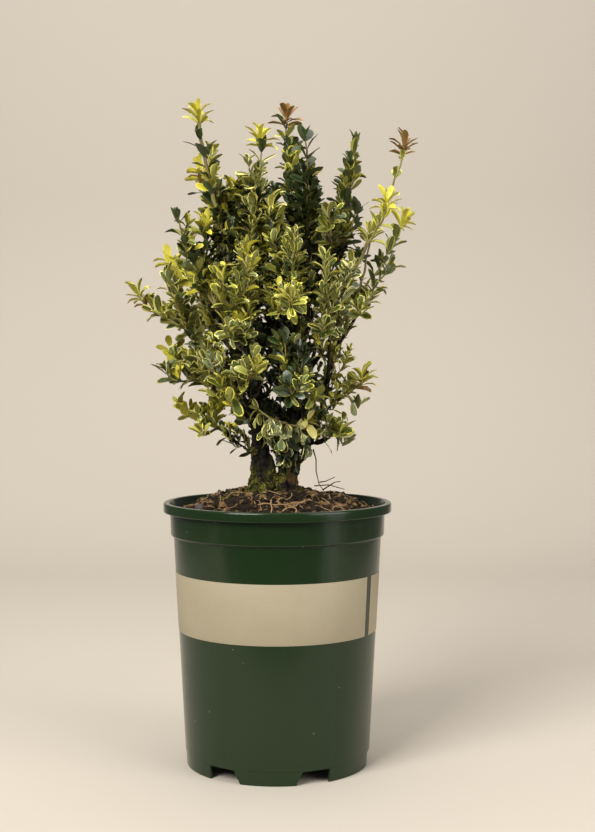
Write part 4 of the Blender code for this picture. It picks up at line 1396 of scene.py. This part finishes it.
# Two more shoots close the crown's middle, in front of the stems and behind them.
MIDDLE_TIPS = {"front_centre": (-7, -54, 338, 17), "back_low": (-9, 44, 340, 16)}
shoots = []
for name, (stem, height, tips) in MASSES.items():
    foot, heading = mass_foot[name]
    for number, tip in enumerate((*tips, MIDDLE_TIPS[name]) if name in MIDDLE_TIPS else tips):
        target, room = metres(tip[:3]), tip[3] * 0.001
        shoots.append(Shoot(name, number, foot, heading, target, room))
feeders = {name: [*path, mass_foot[name][0]] for name, (path, radii) in boughs.items()}
for name, (stem, height, tips) in MASSES.items():
    if height is None:
        feeders[name] = stem_path(stem)[0][1:]
spaces = Spaces(shoots, feeders, limbs)
crowns = {name: Crown(name, spaces) for name in MASSES}
for name, crown in crowns.items():
    crown.limb(feeders[name])
    for shoot in shoots:
        if shoot.mass == name:
            crown.shoot(shoot)


def blade_mesh(name, bend, fold, twist, margin, width, dice):
    """A leaf along +Y facing +Z: middle faces, margin faces, and a plainer underside."""
    def placed(x, y, z):
        turn = twist * y
        x, z = x * math.cos(turn) - z * math.sin(turn), x * math.sin(turn) + z * math.cos(turn)
        angle = bend * y
        run = math.sin(angle) / bend + z * math.sin(angle)
        return x, run, (math.cos(angle) - 1) / bend + z * math.cos(angle)

    points, rows = [placed(0, 0, 0)], []
    for along, share in STATIONS:
        half = HALF_WIDTH * width * share
        row = []
        for side in ACROSS:
            inner = 1 - margin * dice.uniform(*MARGIN_SPREAD)
            x = half * (side if side in (-1, 0, 1) else math.copysign(inner, side))
            wave = WAVE * dice.uniform(-1, 1) if abs(side) == 1 else 0
            row.append(len(points))
            points.append(placed(x, along, fold * x * x / HALF_WIDTH + wave))
        row.append(len(points))
        points.append(placed(0, along, -THICKNESS))
        rows.append(row)
    points.append(placed(0, 1, 0))
    tip = len(points) - 1
    faces, zones = [], []

    def add(zone, *corners):
        faces.append(corners)
        zones.append(zone)

    upper = (MARGIN, MIDDLE, MIDDLE, MARGIN)
    for low, high in zip(rows, rows[1:]):
        for k, zone in enumerate(upper):
            add(zone, low[k], low[k + 1], high[k + 1], high[k])
        add(UNDERSIDE, low[5], low[0], high[0], high[5])
        add(UNDERSIDE, low[4], low[5], high[5], high[4])
    first, last = rows[0], rows[-1]
    for k, zone in enumerate(upper):
        add(zone, 0, first[k + 1], first[k])
        add(MARGIN, last[k], last[k + 1], tip)
    add(UNDERSIDE, 0, first[0], first[5])
    add(UNDERSIDE, 0, first[5], first[4])
    add(UNDERSIDE, last[5], last[0], tip)
    add(UNDERSIDE, last[4], last[5], tip)
    mesh = bpy.data.meshes.new(name)
    mesh.from_pydata(points, [], faces)
    mesh.attributes.new("zone", "INT", "FACE").data.foreach_set("value", zones)
    shape = bmesh.new()
    shape.from_mesh(mesh)
    bmesh.ops.recalc_face_normals(shape, faces=shape.faces)
    shape.to_mesh(mesh)
    shape.free()
    mesh.shade_smooth()
    mesh.set_sharp_from_angle(angle=BLADE_EDGE)
    return mesh


blade_dice = random.Random(f"{SEED} blades")
leaf_box = boxed("leaf_blades_box", [
    blade_mesh(f"blade_{number}", *look, blade_dice) for number, look in enumerate(BLADES)
])

foliage = Grower("leaves_on_nodes", Box="Collection")
opened = foliage.add("GeometryNodeInstanceOnPoints", {}, {
    "Points": foliage.given("Geometry"),
    "Instance": foliage.boxed_shapes(),
    "Pick Instance": True,
    "Instance Index": foliage.named("shape", "INT"),
    "Rotation": foliage.named("turn", "FLOAT_VECTOR"),
    "Scale": foliage.named("size", "FLOAT"),
})
leafy = foliage.realized(opened)
lot = foliage.named("tint", "INT") * len(ZONES) + foliage.named("zone", "INT")
for number, (tint, colours) in enumerate(TINTS.items()):
    for zone, (colour, (zone_name, roughness)) in enumerate(zip(colours, ZONES)):
        leaf_finish = Finish(f"leaf_{tint}_{zone_name}", colour, roughness)
        dimples = leaf_finish.noise(leaf_finish.place(), scale=420, detail=3)
        leaf_finish.rough(roughness - 0.08 + dimples * 0.16)
        leaf_finish.bump(dimples, depth=0.0003)
        chosen = lot.math("COMPARE", lot, number * len(ZONES) + zone, 0.1)
        leafy = foliage.surfaced(leafy, leaf_finish.material, Selection=chosen)
foliage.finish(leafy)

# A piece of leaves for each level of a stem: boughs that leave it under these heights, in mm.
LOW_LEAVES = 260
MIDDLE_LEAVES = 285
tint_numbers = {tint: number for number, tint in enumerate(TINTS)}
groups = {}
for name, (stem, height, tips) in MASSES.items():
    high = height or max(tip[2] for tip in tips)
    level = "_low" if high < LOW_LEAVES else "_mid" if high < MIDDLE_LEAVES else "_top"
    groups.setdefault(f"leaves_{stem}{'' if stem == 'slim' else level}", []).append(name)
for piece, names in groups.items():
    leaves = [leaf for name in names for leaf in crowns[name].leaves]
    spots = bpy.data.meshes.new(piece)
    spots.from_pydata([leaf[0] for leaf in leaves], [], [])
    for what, kind, values in (
        ("turn", "FLOAT_VECTOR", [angle for leaf in leaves for angle in leaf[1]]),
        ("size", "FLOAT", [leaf[2] for leaf in leaves]),
        ("shape", "INT", [leaf[3] for leaf in leaves]),
        ("tint", "INT", [tint_numbers[leaf[4]] for leaf in leaves]),
    ):
        field = "vector" if kind == "FLOAT_VECTOR" else "value"
        spots.attributes.new(what, kind, "POINT").data.foreach_set(field, values)
    leafage = foliage.run(new_object(piece, spots), Box=leaf_box)
    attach(leafage, "root")
    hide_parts(*(f"foliage_{name}" for name in names))

grown = [twig for crown in crowns.values() for twig in crown.twigs]
green_twig = Finish("young_twig", TWIG_GREEN, roughness=0.6)
tone = green_twig.noise(green_twig.place((1, 1, 0.4)), scale=90, detail=3)
green_twig.grained(tone, TWIG_GREEN, TWIG_BROWN, soft=0.35)
green_twig.rough(0.5 + tone * 0.2)
green_twig.bump(tone, depth=0.0003)
twigs = along_paths("twigs", grown, TWIG_SIDES, green_twig.material)
smooth(twigs, TWIG_SHARP)
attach(twigs, "root")

# A dead twig hangs to the soil at the right of the stems, and others lie broken beside it.
DEAD_TWIG_RADII = (0.00050, 0.00026)
DEAD_TWIGS = (
    ((25, -34, 229), (27, -35, 222), (27, -36, 214), (29, -36, 205), (33, -35, 199)),
    ((29, -36, 206), (34, -38, 207), (40, -40, 210)),
    ((26, -30, 203), (36, -34, 204), (47, -36, 201)),
    ((32, -28, 200), (40, -36, 206), (44, -40, 207)),
)
dead = [
    ([metres(point) for point in path], tapered(*DEAD_TWIG_RADII, path), 0.0)
    for path in DEAD_TWIGS
]
dead_twigs = along_paths("dead_twigs", dead, TWIG_SIDES, bark.material)
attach(dead_twigs, "root")

# The loose shapes have been dealt out, so their boxes go.
for box in (chip_box, blade_box, leaf_box):
    for obj in list(box.objects):
        bpy.data.objects.remove(obj)
    bpy.data.collections.remove(box)


# ---- Studio -----------------------------------------------------------------------------------
# A sweep of pale warm card with a dim room round it, as for a catalogue: soft light from the
# front left, from above and from the right, and a white board standing close on the right.

CARD = (0.565, 0.512, 0.436)
CARD_FRONT = -0.31
CARD_SIDE = 0.66
CARD_BEND = 0.9
CARD_BEND_RADIUS = 0.6
CARD_BEND_STEPS = 12
CARD_TOP = 3.0
ROOM_COLOUR = (1.0, 0.96, 0.92, 1.0)
ROOM_LIGHT = 0.15
LENS = 59.0
FILM_WIDTH = 36.0
CAMERA_BACK = 0.98796
CAMERA_HEIGHT = 0.28531
CAMERA_TILT = math.radians(90 - 1.978)
CAMERA_YAW = -0.0147

profile = [(CARD_FRONT, 0.0), (CARD_BEND, 0.0)]
for i in range(1, CARD_BEND_STEPS + 1):
    turn = math.pi / 2 * i / CARD_BEND_STEPS
    back, up = CARD_BEND_RADIUS * math.sin(turn), CARD_BEND_RADIUS * (1 - math.cos(turn))
    profile.append((CARD_BEND + back, up))
profile.append((CARD_BEND + CARD_BEND_RADIUS, CARD_TOP))
card = bpy.data.meshes.new("card_sweep")
card.from_pydata(
    [(x, y, z) for x in (-CARD_SIDE, CARD_SIDE) for y, z in profile],
    [],
    [(i, i + len(profile), i + 1 + len(profile), i + 1) for i in range(len(profile) - 1)],
)
sweep = smooth(new_object("card_sweep", card))
card_finish = Finish("card", CARD, roughness=0.8, specular=0.3)
sweep.data.materials.append(card_finish.material)


def soft_box(name, at, toward, size, power, colour):
    lamp = bpy.data.lights.new(name, "AREA")
    lamp.shape = "RECTANGLE"
    lamp.size, lamp.size_y = size
    lamp.energy = power
    lamp.color = colour
    made = new_object(name, lamp)
    made.location = at
    made.rotation_euler = (Vector(toward) - Vector(at)).to_track_quat("-Z", "Y").to_euler()


soft_box(
    "key", at=(-1.1, -1.5, 1.5), toward=(0, 0, 0.25), size=(1.1, 1.1), power=63,
    colour=(1.0, 0.975, 0.94),
)
soft_box(
    "fill", at=(1.6, -1.2, 0.9), toward=(0, 0, 0.25), size=(1.4, 1.4), power=22,
    colour=(1.0, 0.97, 0.94),
)
soft_box(
    "board", at=(0.456, -0.308, 0.40), toward=(0, 0, 0.40), size=(0.17, 0.80), power=0.34,
    colour=(1.0, 0.97, 0.94),
)
soft_box(
    "overhead", at=(0, 0.1, 2.0), toward=(0, 0.1, 0), size=(2.0, 2.0), power=26,
    colour=(1.0, 0.98, 0.96),
)

world = bpy.data.worlds.new("studio")
bpy.context.scene.world = world
world.use_nodes = True
surround = world.node_tree.nodes["Background"]
surround.inputs["Color"].default_value = ROOM_COLOUR
surround.inputs["Strength"].default_value = ROOM_LIGHT

lens = bpy.data.cameras.new("camera")
lens.lens = LENS
lens.sensor_width = FILM_WIDTH
camera = new_object("camera", lens)
camera.location = (0, -CAMERA_BACK, CAMERA_HEIGHT)
camera.rotation_euler = (CAMERA_TILT, 0, CAMERA_YAW)
bpy.context.scene.camera = camera
bpy.context.scene.view_settings.view_transform = "Standard"
